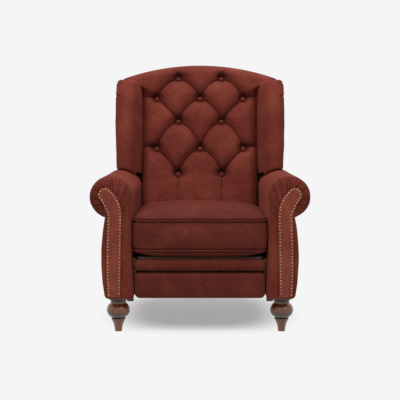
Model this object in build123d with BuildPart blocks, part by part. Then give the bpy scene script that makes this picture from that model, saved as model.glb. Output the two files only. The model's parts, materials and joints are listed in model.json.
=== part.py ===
"""Wingback recliner: rolled arms on turned feet, a tufted winged back that reclines as the
seat glides forward, and a two-board footrest on folding links.

Millimetres. X is the width, -Y the front, +Z up. The origin is on the floor, under the
middle of the chair. "left" is the side at -X, which is on the left seen from the front.
"""

from build123d import *
from math import cos, hypot, radians, sin, tan
import os

os.makedirs("parts", exist_ok=True)

# ---------------------------------------------------------------- driving dimensions
seat_clearance = 0.3  # between soft parts and what they rest on
side_clearance = 1.5  # between a moving part and a fixed one beside it

# arms
front_y = -425.0
arm_length = 715.0
arm_bottom_z = 141.0
arm_inner_x = 260.0  # inner face at the bottom edge
arm_waist_x = 272.0  # inner face beside the cushion
arm_waist_z = 400.0
arm_side_x = 387.0  # outer face at its fullest
arm_side_z = 290.0
roll_centre_x = 352.0
roll_centre_z = 545.0
roll_radius = 83.0
roll_round = 30.0  # rounding of the roll's front
roll_tuck_in = 6.0  # how far the side's inner face ends inside the roll
roll_tuck_turn = 16.0  # degrees from the roll's bottom to where the outer face ends
arm_round = 14.0
arm_corner = 18.0
arm_toe_x = 376.0

# timber inside each arm
pad_wall = 26.0  # padding round the arm frame
arm_skin = 24.0  # padding at the arm's two ends
sill_high = 36.0
board = 18.0
rail_thick = 24.0
rail_height = 134.0
rail_inner_x = 257.0
rail_low_z = 160.0
rail_front_y = -345.0
rail_rear_gap = 20.0  # from the rail's end to the arm's
rail_bolt_radius = 4.0

# facing board on the front of each arm, and its nails
facing_thick = 9.0
facing_round = 3.5
facing_head_radius = 40.0
facing_head_x = 352.0
facing_head_z = 536.0
facing_neck_z = 470.0
facing_neck_in_x = 306.5
facing_neck_out_x = 362.0
facing_cheek = (374.0, 502.0)
facing_chin = (364.6, 485.0)
facing_hip_x = 368.0
facing_foot_in_x = 314.0
facing_foot_out_x = 365.0
facing_foot_z = 146.0
nail_pitch = 12.6
nail_radius = 4.3
nail_height = 2.4
nail_inset = 5.6
nail_sides = 6
nail_crown_radius = 2.0

# rails between the arms
front_rail_y = -118.0
front_rail_wide = 30.0
front_rail_high = 46.0
rear_rail_y = 262.0
rear_rail_wide = 26.0
rear_rail_high = 60.0

# feet
foot_x = 329.0
front_foot_back = 70.0  # from the front of the arm to the middle of the foot
foot_sole_radius = 14.5
foot_neck_radius = 29.0
foot_neck_z = 50.0
foot_bulb_radius = 46.5
foot_bulb_z = 87.0
foot_collar_radius = 31.0
foot_collar_z = 114.0
foot_top_radius = 39.0
foot_stem_bow = 3.5
foot_ring_high = 4.0
foot_nick = 4.0
foot_nick_high = 2.0
foot_groove_high = 3.0
foot_rim_high = 10.0
foot_cove_radius = 14.0
rear_foot_y = 235.0
rear_leg_top = 46.0
rear_leg_base = 30.0
rear_leg_rake = 32.0
stud_radius = 4.0
stud_in_foot = 32.0
stud_in_arm = 30.0
stud_end_gap = 0.5

# seat cushion
cushion_side = 1.5  # gap to each arm at the waist
cushion_front_y = front_y + 2.0
cushion_rear_y = 118.0  # at the upper seam
cushion_base_z = 308.0
cushion_low_seam_z = 333.0
cushion_high_seam_z = 453.0
cushion_shoulder_z = 479.0
cushion_crown_z = 492.0
cushion_taper = 1.5  # the lower seam is this much narrower on each side
cushion_low_draw = 27.0  # drawn in from the lower seam to the base
cushion_low_draw_rear = 9.0
cushion_shoulder_draw = 36.0  # drawn in from the upper seam to the shoulder
cushion_shoulder_draw_rear = 18.0
cushion_crown_draw = 108.0  # and to the crown
cushion_crown_draw_rear = 81.0
cushion_corner = 26.0

# seat frame and its springs
deck_thick = 6.0
seat_rail_high = 26.0
seat_rail_wide = 40.0
seat_half_width = 221.0
seat_front_y = front_y + 55.0
seat_rear_y = 95.0
strap_wide = 50.0
strap_thick = 2.0
seat_strap_count = 5

# glide: the seat unit rides forward and up on studs in slotted rails
glide_tilt = 8.0
glide_travel = 55.0
glide_rail_thick = 5.0
glide_rail_high = 34.0
glide_rail_length = 330.0
glide_mid_y = -85.0
glide_mid_z = 262.0
glide_stud_radius = 6.0
glide_stud_gap = 0.3
glide_stud_spread = 170.0
glide_end_play = 4.0
stud_wall_gap = 0.5  # between the end of a glide stud and the arm's rail
rail_bolt_spread = 290.0

# side plates of the seat unit and the links of the footrest
plate_thick = 4.0
plate_outer_x = 251.0
layer_gap = 2.0
flange_reach = 51.0
plate_drive_boss = 13.5
plate_stud_boss = 14.0
plate_pivot_boss = 22.0
plate_edge_high = 16.0
link_thick = 4.0
link_half = 10.0
pin_radius = 5.0
pin_clearance = 0.08
steer_slack = 3.2  # the two closing pivots of the linkage work loose by this much
lift_slack = 5.0

# pivots of the footrest's links, closed, as (y, z)
drive_pivot = (-352.6, 267.9)  # drive link on the side plate
rest_pivot = (-310.5, 278.0)  # rest link on the side plate
drive_tip = (-213.0, 164.4)  # drive link to carry link
rest_tip = (-166.6, 188.1)  # rest link to carry link
rest_loose = (-169.1, 189.5)  # middle of the rest link's wide hole round that pin
carry_tip = (-356.0, 190.0)  # carry link to ottoman bracket
strip_pivot = (-341.7, 169.5)  # carry link to strip bracket
lift_root = (-207.1, 191.8)  # lift link on the drive link
lift_tip = (-336.5, 220.8)  # lift link to ottoman bracket
lift_loose = (-341.1, 219.8)  # middle of the lift link's wide hole round that pin
flange_wide = 18.0
flange_thick = 4.0
ottoman_flange_low_z = 156.0
ottoman_flange_high_z = 235.0
strip_elbow = (-352.0, 262.0)

# back
back_rake = 14.0
back_base_y = 168.0
back_base_z = 300.0
back_top = 822.0  # along the rake, to the top of the arch
back_side_drop = 63.0  # from the top of the arch to the ends of it
top_rail_low = 708.0
back_half_width = 352.0
lower_half_width = 255.0
frame_thick = 45.0
stile_wide = 44.0
shoulder_above_arm = 17.0  # the wing dips as it swings back over the arm
outside_thick = 14.0
outside_foot = 56.0
outside_tuck = 14.0  # how far the upper panel runs down past the shoulder before it is cut
back_bottom = 96.0  # along the rake, below which the back has no padding
stile_foot = -20.0
back_strap_count = 6

# tufted pad: its sides rise square to the first crown step
tuft_depth = 44.0  # from the crown to the bottom of a tuft
pleat_depth = 26.0
pleat_half_angle = 30.0
tuft_flare = 0.75  # widening of a tuft per depth
tuft_floor_radius = 12.0
cut_past = 1.0  # how far a cutter reaches out of what it cuts
crown_steps = [(0.0, 40.0), (12.0, 62.0), (38.0, 78.0)]  # drawn in by, forward by
tuft_column = 100.0
tuft_rows = [301.0, 420.0, 548.0, 657.0, 754.0]  # along the rake, two and three by turns
button_radius = 10.5
button_height = 8.0
button_crown_radius = 6.5

# wings
wing_reach = 205.0
wing_thick = 66.0
wing_root_x = 264.0
wing_front_in_x = 300.0
wing_out_x = 372.0
wing_nose = 32.0
wing_board_thick = 18.0
wing_board_reach = 150.0
wing_top = 748.0
wing_top_high = 60.0  # height of the drawn-in top
wing_top_inset = 12.0
wing_top_back = 45.0

# back pivot
pivot_y = 205.0
pivot_z = 262.0
pivot_radius = 7.0
bracket_thick = 4.0
bracket_wide = 40.0
bracket_ups = [38.0, 130.0]
recline = 32.0

# footrest boards
footrest_half_width = 256.0
ottoman_thick = 55.0
ottoman_low_z = 143.0
ottoman_high_z = 247.0
strip_low_z = 252.0
strip_high_z = 298.0
strip_thick = 40.0
footrest_board = 12.0
footrest_margin = 8.0  # from the board's edge to the pad's
footrest_corner = 16.0
footrest_front_y = front_y + 2.0

# ---------------------------------------------------------------- worked-out places
arm_rear_y = front_y + arm_length
hollow_in_x = arm_inner_x + pad_wall
hollow_out_x = arm_toe_x - pad_wall
hollow_low_z = arm_bottom_z + pad_wall
hollow_high_z = roll_centre_z
hollow_front_y = front_y + arm_skin
hollow_rear_y = arm_rear_y - arm_skin
front_foot_y = front_y + front_foot_back
foot_ring_top_z = foot_neck_z + foot_ring_high
rail_outer_x = rail_inner_x + rail_thick
stud_long_up = hollow_low_z - arm_bottom_z + stud_in_arm
front_plane = Plane.XZ.offset(-front_y)  # faces the viewer, its sketch in X and Z
roll_inner_x = roll_centre_x - roll_radius
roll_meets_side = (
    roll_centre_x + roll_radius * sin(radians(roll_tuck_turn)),
    roll_centre_z - roll_radius * cos(radians(roll_tuck_turn)),
)
rail_rear_y = arm_rear_y - rail_rear_gap
rail_high_z = rail_low_z + rail_height
facing_front_y = front_y - facing_thick


def on_glide(along):
    """A place on the glide's centre line, "along" from its middle towards the front."""
    return (
        glide_mid_y - along * cos(radians(glide_tilt)),
        glide_mid_z + along * sin(radians(glide_tilt)),
    )


rail_bolts = [on_glide(-rail_bolt_spread / 2), on_glide(rail_bolt_spread / 2)]


def save(part, name):
    """Writes one node."""
    part.label = name
    export_step(part, f"parts/{name}.step")


def both_sides(part, name):
    """Writes the piece at +X as name_right, and its mirror image as name_left."""
    save(part, f"{name}_right")
    save(mirror(part, about=Plane.YZ), f"{name}_left")


def pair(parts):
    """One shape of the right-hand parts and their mirror images."""
    right = [solid for part in parts for solid in part.solids()]
    left = [solid for part in parts for solid in mirror(part, about=Plane.YZ).solids()]
    return Compound(right + left)


# ---------------------------------------------------------------- arms
with BuildPart() as arm_cover:
    with BuildSketch(front_plane):  # the side, its top hidden in the roll
        with BuildLine():
            inner = ThreePointArc(
                (arm_inner_x, arm_bottom_z + arm_corner),
                (arm_waist_x, arm_waist_z),
                (roll_inner_x + roll_tuck_in, roll_centre_z),
            )
            top = Line(inner @ 1, roll_meets_side)
            outer = ThreePointArc(
                top @ 1, (arm_side_x, arm_side_z), (arm_toe_x, arm_bottom_z + arm_corner)
            )
            toe = Line(outer @ 1, (arm_toe_x - arm_corner, arm_bottom_z))
            sole = Line(toe @ 1, (arm_inner_x + arm_corner, arm_bottom_z))
            Line(sole @ 1, inner @ 0)
        make_face()
    extrude(amount=-arm_length)
    rim = arm_cover.faces().sort_by(Axis.Y)[0].edges().sort_by(Axis.Z)[:-1]
    fillet(rim, arm_round)
    with BuildSketch(Plane.YZ.offset(roll_centre_x)):  # the roll, turned about its own axis
        with BuildLine():
            axis_line = Line((arm_rear_y, roll_centre_z), (front_y, roll_centre_z))
            flat = Line(axis_line @ 1, (front_y, roll_centre_z + roll_radius - roll_round))
            nose = RadiusArc(
                flat @ 1, (front_y + roll_round, roll_centre_z + roll_radius), roll_round
            )
            crest = Line(nose @ 1, (arm_rear_y, roll_centre_z + roll_radius))
            Line(crest @ 1, axis_line @ 0)
        make_face()
    revolve(axis=Axis((roll_centre_x, 0, roll_centre_z), (0, 1, 0)))
    with BuildSketch(front_plane.offset(-arm_skin)):  # hollow for the timber
        with Locations(((hollow_in_x + hollow_out_x) / 2, (hollow_low_z + hollow_high_z) / 2)):
            Rectangle(hollow_out_x - hollow_in_x, hollow_high_z - hollow_low_z)
    extrude(amount=-(arm_length - 2 * arm_skin), mode=Mode.SUBTRACT)
    with BuildSketch(Plane.XY.offset(rail_low_z)):  # pocket for the bare inner rail
        with Locations(((rail_inner_x + rail_outer_x) / 2, (rail_front_y + rail_rear_y) / 2)):
            Rectangle(rail_outer_x - rail_inner_x, rail_rear_y - rail_front_y)
    extrude(amount=rail_height, mode=Mode.SUBTRACT)
    for foot_y in (front_foot_y, rear_foot_y):  # holes for the foot studs
        with Locations((foot_x, foot_y, arm_bottom_z)):
            Cylinder(
                stud_radius,
                hollow_low_z - arm_bottom_z,
                align=(Align.CENTER, Align.CENTER, Align.MIN),
                mode=Mode.SUBTRACT,
            )
both_sides(arm_cover.part, "arm_cover")


def hollow_block(x_size, y_low, y_high, z_low, z_high):
    """A timber that fills the arm's hollow across its width."""
    with BuildPart() as block:
        with BuildSketch(Plane.XY.offset(z_low)):
            with Locations(((hollow_in_x + hollow_out_x) / 2, (y_low + y_high) / 2)):
                Rectangle(x_size, y_high - y_low)
        extrude(amount=z_high - z_low)
    return block


hollow_wide = hollow_out_x - hollow_in_x
for name, post_y in (("front", hollow_front_y), ("rear", hollow_rear_y - board)):
    post = hollow_block(hollow_wide, post_y, post_y + board, hollow_low_z, hollow_high_z)
    both_sides(post.part, f"arm_{name}_post")

inner_front_y = hollow_front_y + board
inner_rear_y = hollow_rear_y - board
with BuildPart() as arm_sill:  # takes the feet's studs
    add(
        hollow_block(
            hollow_wide, inner_front_y, inner_rear_y, hollow_low_z, hollow_low_z + sill_high
        ).part
    )
    for foot_y in (front_foot_y, rear_foot_y):
        with Locations((foot_x, foot_y, hollow_low_z)):
            Cylinder(
                stud_radius,
                stud_in_arm,
                align=(Align.CENTER, Align.CENTER, Align.MIN),
                mode=Mode.SUBTRACT,
            )
both_sides(arm_sill.part, "arm_sill")
arm_top_rail = hollow_block(
    hollow_wide, inner_front_y, inner_rear_y, hollow_high_z - sill_high, hollow_high_z
)
both_sides(arm_top_rail.part, "arm_top_rail")

with BuildPart() as arm_rail:
    with BuildSketch(Plane.XY.offset(rail_low_z)):
        with Locations(((rail_inner_x + rail_outer_x) / 2, (rail_front_y + rail_rear_y) / 2)):
            Rectangle(rail_outer_x - rail_inner_x, rail_rear_y - rail_front_y)
    extrude(amount=rail_height)
    with Locations(Plane.YZ.offset(rail_inner_x)):
        with Locations(*rail_bolts):
            Hole(rail_bolt_radius)
both_sides(arm_rail.part, "arm_rail")

# ---------------------------------------------------------------- facings and nails
with BuildPart() as arm_facing:
    with BuildSketch(front_plane) as arm_facing_outline:
        with BuildLine():
            inner_leg = Line(
                (facing_foot_in_x, facing_foot_z), (facing_neck_in_x, facing_neck_z)
            )
            shoulder = TangentArc(
                inner_leg @ 1,
                (facing_head_x, facing_head_z + facing_head_radius),
                tangent=inner_leg % 1,
            )
            brow = TangentArc(
                shoulder @ 1,
                (facing_head_x + facing_head_radius, facing_head_z),
                tangent=shoulder % 1,
            )
            cheek = TangentArc(brow @ 1, facing_cheek, tangent=brow % 1)
            chin = ThreePointArc(cheek @ 1, facing_chin, (facing_neck_out_x, facing_neck_z))
            hip = ThreePointArc(
                chin @ 1, (facing_hip_x, arm_side_z), (facing_foot_out_x, facing_foot_z)
            )
            Line(hip @ 1, inner_leg @ 0)
        make_face()
    extrude(amount=facing_thick)
    fillet(arm_facing.faces().sort_by(Axis.Y)[0].edges(), facing_round)
both_sides(arm_facing.part, "arm_facing")

nail_face = front_plane * offset(arm_facing_outline.sketch_local, amount=-nail_inset)
nail_wire = nail_face.face().outer_wire()
nail_count = round(nail_wire.length / nail_pitch)
nail_places = [nail_wire.position_at(n / nail_count) for n in range(nail_count)]
nail_lowest_z = facing_foot_z + nail_inset + nail_radius
with BuildPart() as nail:
    with BuildSketch(Plane.XZ.offset(-facing_front_y)):
        RegularPolygon(nail_radius, nail_sides)
    with BuildSketch(Plane.XZ.offset(-facing_front_y + nail_height)):
        RegularPolygon(nail_crown_radius, nail_sides)
    loft(ruled=True)
nail_spots = [(p.X, 0, p.Z) for p in nail_places if p.Z > nail_lowest_z]
save(pair([Pos(*spot) * nail.part for spot in nail_spots]), "arm_nails")

# ---------------------------------------------------------------- feet
with BuildPart() as front_foot:
    with BuildSketch(Plane((foot_x, front_foot_y, 0), x_dir=(1, 0, 0), z_dir=(0, -1, 0))):
        with BuildLine():
            sole = Line((0, 0), (foot_sole_radius, 0))
            stem = ThreePointArc(
                sole @ 1,
                (foot_sole_radius + foot_stem_bow, foot_neck_z / 2),
                (foot_neck_radius, foot_neck_z),
            )
            ring = Line(stem @ 1, (foot_neck_radius, foot_ring_top_z))
            nick = Line(ring @ 1, (foot_neck_radius - foot_nick, foot_ring_top_z + foot_nick_high))
            bulb = ThreePointArc(
                nick @ 1, (foot_bulb_radius, foot_bulb_z), (foot_collar_radius, foot_collar_z)
            )
            groove = Line(bulb @ 1, (foot_collar_radius, foot_collar_z + foot_groove_high))
            cove = RadiusArc(
                groove @ 1, (foot_top_radius, arm_bottom_z - foot_rim_high), foot_cove_radius
            )
            rim_up = Line(cove @ 1, (foot_top_radius, arm_bottom_z))
            lid = Line(rim_up @ 1, (0, arm_bottom_z))
            Line(lid @ 1, sole @ 0)
        make_face()
    revolve(axis=Axis((foot_x, front_foot_y, 0), (0, 0, 1)))
    with Locations((foot_x, front_foot_y, arm_bottom_z)):
        Hole(stud_radius, stud_in_foot)
save(pair([front_foot.part]), "front_feet")

with BuildPart() as rear_foot:  # square, tapered and raked back
    with BuildSketch(Plane.XY.offset(arm_bottom_z)):
        with Locations((foot_x, rear_foot_y)):
            Rectangle(rear_leg_top, rear_leg_top)
    with BuildSketch(Plane.XY):
        with Locations((foot_x, rear_foot_y + rear_leg_rake)):
            Rectangle(rear_leg_base, rear_leg_base)
    loft(ruled=True)
    with Locations((foot_x, rear_foot_y, arm_bottom_z)):
        Hole(stud_radius, stud_in_foot)
save(pair([rear_foot.part]), "rear_feet")

foot_studs = [
    Pos(side * foot_x, foot_y, arm_bottom_z + (stud_long_up - stud_in_foot) / 2)
    * Cylinder(stud_radius, stud_in_foot + stud_long_up - 2 * stud_end_gap)
    for side in (-1, 1)
    for foot_y in (front_foot_y, rear_foot_y)
]
save(Compound(foot_studs), "foot_studs")

# ---------------------------------------------------------------- rails between the arms
with BuildPart() as front_cross_rail:
    with BuildSketch(Plane.YZ.offset(-rail_inner_x)):
        with Locations((front_rail_y, rail_low_z + front_rail_high / 2)):
            Rectangle(front_rail_wide, front_rail_high)
    extrude(amount=2 * rail_inner_x)
save(front_cross_rail.part, "front_cross_rail")

with BuildPart() as rear_cross_rail:
    with BuildSketch(Plane.YZ.offset(-rail_inner_x)):
        with Locations((rear_rail_y, rail_low_z + rear_rail_high / 2)):
            Rectangle(rear_rail_wide, rear_rail_high)
    extrude(amount=2 * rail_inner_x)
save(rear_cross_rail.part, "rear_cross_rail")

# ---------------------------------------------------------------- glide rails
slot_long = glide_travel + 2 * glide_end_play
slot_wide = 2 * (glide_stud_radius + glide_stud_gap)
stud_rest = [-glide_travel / 2 + side * glide_stud_spread / 2 for side in (-1, 1)]
with BuildPart() as glide_rail:
    with BuildSketch(Plane.YZ.offset(rail_inner_x - glide_rail_thick)):
        with Locations((glide_mid_y, glide_mid_z)):
            SlotOverall(glide_rail_length, glide_rail_high, rotation=-glide_tilt)
        with Locations(*[on_glide(along + glide_travel / 2) for along in stud_rest]):
            SlotCenterToCenter(slot_long, slot_wide, rotation=-glide_tilt, mode=Mode.SUBTRACT)
        with Locations(*rail_bolts):
            Circle(rail_bolt_radius, mode=Mode.SUBTRACT)
    extrude(amount=glide_rail_thick)
save(pair([glide_rail.part]), "glide_rails")


def pins(spots, radius, x_low, x_high):
    """Round pins across the chair at the (y, z) spots, on the right side."""
    with BuildPart() as made:
        with BuildSketch(Plane.YZ.offset(x_low)):
            with Locations(*spots):
                Circle(radius)
        extrude(amount=x_high - x_low)
    return made.part


save(
    pair([pins(rail_bolts, rail_bolt_radius, rail_inner_x - glide_rail_thick, rail_outer_x)]),
    "rail_bolts",
)

# ---------------------------------------------------------------- seat unit: plates, pins, frame
plate_inner_x = plate_outer_x - plate_thick
lift_x = plate_inner_x - layer_gap - link_thick  # layers of the linkage, each one's inner face
drive_x = lift_x - layer_gap - link_thick
carry_x = drive_x - layer_gap - link_thick
rest_x = carry_x - layer_gap - link_thick
bracket_x = plate_inner_x - layer_gap - bracket_thick
seat_top_z = cushion_base_z - deck_thick - strap_thick
stud_spots = [on_glide(along) for along in stud_rest]
flange_x = plate_outer_x - flange_reach

with BuildPart() as side_plate:
    with BuildSketch(Plane.YZ.offset(plate_inner_x)):
        with Locations(drive_pivot):
            Circle(plate_drive_boss)
        with Locations(stud_spots[0]):
            Circle(plate_stud_boss)
        with Locations((pivot_y, pivot_z)):
            Circle(plate_pivot_boss)
        with Locations(((seat_front_y + seat_rear_y) / 2, seat_top_z - plate_thick)):
            Rectangle(seat_rear_y - seat_front_y - 2 * plate_thick, plate_edge_high)
        make_hull()
        with Locations(drive_pivot, rest_pivot):
            Circle(pin_radius, mode=Mode.SUBTRACT)
        with Locations(*stud_spots):
            Circle(glide_stud_radius, mode=Mode.SUBTRACT)
        with Locations((pivot_y, pivot_z)):
            Circle(pivot_radius, mode=Mode.SUBTRACT)
    extrude(amount=plate_thick)
    with BuildSketch(Plane.XY.offset(seat_top_z)):  # flange on the seat frame
        with Locations(((flange_x + plate_outer_x) / 2, (seat_front_y + seat_rear_y) / 2)):
            Rectangle(flange_reach, seat_rear_y - seat_front_y - 2 * plate_thick)
    extrude(amount=plate_thick)
save(pair([side_plate.part]), "side_plates")

seat_pins = pair(
    [
        pins(stud_spots, glide_stud_radius, plate_inner_x, rail_inner_x - stud_wall_gap),
        pins([drive_pivot], pin_radius, drive_x, plate_outer_x),
        pins([rest_pivot], pin_radius, rest_x, plate_outer_x),
        pins([(pivot_y, pivot_z)], pivot_radius, bracket_x, plate_outer_x),
    ]
)
save(seat_pins, "seat_pins")

seat_mid_y = (seat_front_y + seat_rear_y) / 2
seat_deep = seat_rear_y - seat_front_y
with BuildPart() as seat_frame:
    with BuildSketch(Plane.XY.offset(seat_top_z - seat_rail_high)):
        with Locations((0, seat_mid_y)):
            Rectangle(2 * seat_half_width, seat_deep)
            Rectangle(
                2 * (seat_half_width - seat_rail_wide),
                seat_deep - 2 * seat_rail_wide,
                mode=Mode.SUBTRACT,
            )
    extrude(amount=seat_rail_high)
save(seat_frame.part, "seat_frame")

with BuildPart() as seat_webbing:
    with BuildSketch(Plane.XY.offset(seat_top_z)):
        strap_pitch = (seat_deep - 2 * seat_rail_wide) / seat_strap_count
        with Locations((0, seat_mid_y)):
            with GridLocations(0, strap_pitch, 1, seat_strap_count):
                Rectangle(2 * flange_x - 2 * layer_gap, strap_wide)
    extrude(amount=strap_thick)
save(seat_webbing.part, "seat_webbing")

with BuildPart() as seat_deck:
    with BuildSketch(Plane.XY.offset(seat_top_z + strap_thick)):
        with Locations((0, seat_mid_y)):
            Rectangle(2 * flange_x - 2 * layer_gap, seat_deep)
    extrude(amount=deck_thick)
save(seat_deck.part, "seat_deck")

# ---------------------------------------------------------------- seat cushion
cushion_half = arm_waist_x - cushion_side


def cushion_section(z, half, y_front, y_rear):
    """A level outline of the cushion."""
    with BuildSketch(Plane.XY.offset(z)) as outline:
        with Locations((0, (y_front + y_rear) / 2)):
            RectangleRounded(2 * half, y_rear - y_front, cushion_corner)
    return outline.sketch


cushion_low_half = cushion_half - cushion_taper
low_rear_y = cushion_rear_y - tan(radians(back_rake)) * (cushion_high_seam_z - cushion_low_seam_z)
cushion_levels = [
    cushion_section(
        cushion_base_z,
        cushion_low_half - cushion_low_draw,
        cushion_front_y + cushion_low_draw,
        low_rear_y - cushion_low_draw_rear,
    ),
    cushion_section(cushion_low_seam_z, cushion_low_half, cushion_front_y, low_rear_y),
    cushion_section(cushion_high_seam_z, cushion_half, cushion_front_y, cushion_rear_y),
    cushion_section(
        cushion_shoulder_z,
        cushion_half - cushion_shoulder_draw,
        cushion_front_y + cushion_shoulder_draw,
        cushion_rear_y - cushion_shoulder_draw_rear,
    ),
    cushion_section(
        cushion_crown_z,
        cushion_half - cushion_crown_draw,
        cushion_front_y + cushion_crown_draw,
        cushion_rear_y - cushion_crown_draw_rear,
    ),
]
with BuildPart() as seat_cushion:
    for lower, upper in zip(cushion_levels[:-1], cushion_levels[1:]):
        add(lower)
        add(upper)
        loft()
save(seat_cushion.part, "seat_cushion")

# ---------------------------------------------------------------- links of the footrest
def link(legs, x_low, holes, boss=link_half):
    """A flat link of straight legs between (y, z) spots; holes lists (spot, radius)."""
    with BuildPart() as made:
        with BuildSketch(Plane.YZ.offset(x_low)):
            for start, end in legs:
                with BuildSketch(mode=Mode.PRIVATE) as leg:
                    with Locations(start, end):
                        Circle(boss)
                    make_hull()
                add(leg.sketch)
            for spot, radius in holes:
                with Locations(spot):
                    Circle(radius, mode=Mode.SUBTRACT)
        extrude(amount=link_thick)
    return made.part


turning = pin_radius + pin_clearance
drive_link = link(
    [(drive_pivot, drive_tip), (drive_tip, lift_root), (lift_root, drive_pivot)],
    drive_x,
    [(drive_pivot, turning), (drive_tip, pin_radius), (lift_root, pin_radius)],
)
save(pair([drive_link]), "drive_links")
rest_link = link(
    [(rest_pivot, rest_loose)],
    rest_x,
    [(rest_pivot, turning), (rest_loose, pin_radius + steer_slack)],
    boss=link_half + steer_slack,
)
save(pair([rest_link]), "rest_links")
carry_link = link(
    [(rest_tip, drive_tip), (drive_tip, carry_tip), (carry_tip, strip_pivot)],
    carry_x,
    [
        (rest_tip, pin_radius),
        (drive_tip, turning),
        (carry_tip, pin_radius),
        (strip_pivot, pin_radius),
    ],
)
save(pair([carry_link]), "carry_links")
lift_link = link(
    [(lift_root, lift_loose)],
    lift_x,
    [(lift_root, turning), (lift_loose, pin_radius + lift_slack)],
    boss=link_half + lift_slack,
)
save(pair([lift_link]), "lift_links")

with BuildPart() as drive_rod:  # joins the drive links and is the pin of the carry links
    with BuildSketch(Plane.YZ.offset(-drive_x - link_thick)):
        with Locations(drive_tip):
            Circle(pin_radius)
    extrude(amount=2 * (drive_x + link_thick))
save(drive_rod.part, "drive_rod")
save(pair([pins([lift_root], pin_radius, drive_x, lift_x + link_thick)]), "lift_pins")
carry_pins = pair(
    [
        pins([rest_tip, strip_pivot], pin_radius, rest_x, carry_x + link_thick),
        pins([carry_tip], pin_radius, carry_x, drive_x + link_thick),
    ]
)
save(carry_pins, "carry_pins")

# ---------------------------------------------------------------- footrest
ottoman_back_y = footrest_front_y + ottoman_thick
strip_back_y = footrest_front_y + strip_thick


def footrest_bracket(x_low, arm, web_spots, flange_y, flange_low, flange_high, holes, inward):
    """A plate along the arm's spots and out to a flange on the board whose back is at flange_y."""
    flange_mid_z = (flange_low + flange_high) / 2
    flange_x_shift = (flange_wide - link_thick) / 2 * (-1 if inward else 1)
    with BuildPart() as made:
        with BuildSketch(Plane.YZ.offset(x_low)):
            with BuildSketch(mode=Mode.PRIVATE) as leg:
                with Locations(*arm):
                    Circle(link_half)
                make_hull()
            add(leg.sketch)
            with BuildSketch(mode=Mode.PRIVATE) as web:
                with Locations(*web_spots):
                    Circle(link_half)
                with Locations((flange_y + flange_thick / 2, flange_mid_z)):
                    Rectangle(flange_thick, flange_high - flange_low)
                make_hull()
            add(web.sketch)
            for spot, radius in holes:
                with Locations(spot):
                    Circle(radius, mode=Mode.SUBTRACT)
        extrude(amount=link_thick)
        with BuildSketch(Plane.XZ.offset(-flange_y)):
            with Locations((x_low + link_thick / 2 + flange_x_shift, flange_mid_z)):
                Rectangle(flange_wide, flange_high - flange_low)
        extrude(amount=-flange_thick)
    return made.part


def footrest_board_and_pad(name, low_z, high_z, back_y):
    """The board and the pad round it, its back edge flush with the board."""
    mid_z = (low_z + high_z) / 2
    with BuildPart() as board_part:
        with BuildSketch(Plane.XZ.offset(-back_y)):
            with Locations((0, mid_z)):
                Rectangle(
                    2 * (footrest_half_width - footrest_margin),
                    high_z - low_z - 2 * footrest_margin,
                )
        extrude(amount=footrest_board)
    with BuildPart() as pad:
        with BuildSketch(Plane.XZ.offset(-back_y)):
            with Locations((0, mid_z)):
                Rectangle(2 * footrest_half_width, high_z - low_z)
        extrude(amount=back_y - footrest_front_y)
        fillet(pad.faces().sort_by(Axis.Y)[0].edges(), footrest_corner)
        add(board_part.part, mode=Mode.SUBTRACT)
    save(board_part.part, f"{name}_board")
    save(pad.part, f"{name}_pad")


footrest_board_and_pad("ottoman", ottoman_low_z, ottoman_high_z, ottoman_back_y)
footrest_board_and_pad("strip", strip_low_z, strip_high_z, strip_back_y)

ottoman_bracket = footrest_bracket(
    drive_x,
    [carry_tip, lift_tip],
    [carry_tip, lift_tip],
    ottoman_back_y,
    ottoman_flange_low_z,
    ottoman_flange_high_z,
    [(carry_tip, turning), (lift_tip, pin_radius)],
    inward=False,
)
lift_tip_pin = pins([lift_tip], pin_radius, drive_x, lift_x + link_thick)
save(pair([ottoman_bracket]), "ottoman_brackets")
save(pair([lift_tip_pin]), "ottoman_pins")
strip_bracket = footrest_bracket(
    rest_x,
    [strip_pivot, strip_elbow],
    [strip_elbow],
    strip_back_y,
    strip_low_z + footrest_margin,
    strip_high_z - footrest_margin,
    [(strip_pivot, turning)],
    inward=True,
)
save(pair([strip_bracket]), "strip_brackets")

# ---------------------------------------------------------------- back
rake = radians(back_rake)
back_plane = Plane(
    (0, back_base_y, back_base_z), x_dir=(1, 0, 0), z_dir=(0, -cos(rake), sin(rake))
)  # the front of the back's frame: its sketch is X and up the rake
shoulder_z = roll_centre_z + roll_radius + shoulder_above_arm
shoulder_up = (shoulder_z - back_base_z) / cos(rake)
stile_out_x = bracket_x
pad_half = wing_root_x
reach_far = 2 * back_top


def arch(half, top, side, low):
    """Outline of straight sides and foot under an arched top."""
    with BuildSketch(Plane.XY) as outline:
        with BuildLine():
            crown = ThreePointArc((-half, side), (0, top), (half, side))
            Polyline(crown @ 1, (half, low), (-half, low), crown @ 0)
        make_face()
    return outline.sketch


under_shoulder = Pos(0, 0, shoulder_z - reach_far / 2) * Box(4 * reach_far, 4 * reach_far, reach_far)
side_top = back_top - back_side_drop
low_rail_top = back_bottom + stile_wide
shoulder_rail_low = shoulder_up + frame_thick * tan(rake)  # its rear edge clears the shoulder
shoulder_rail_top = shoulder_rail_low + stile_wide


def back_timber(x_low, x_high, up_low, up_high):
    """A timber of the back's frame, as thick as the frame."""
    with BuildPart() as timber:
        with BuildSketch(back_plane.offset(-frame_thick)):
            with Locations(((x_low + x_high) / 2, (up_low + up_high) / 2)):
                Rectangle(x_high - x_low, up_high - up_low)
        extrude(amount=frame_thick)
    return timber.part


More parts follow.
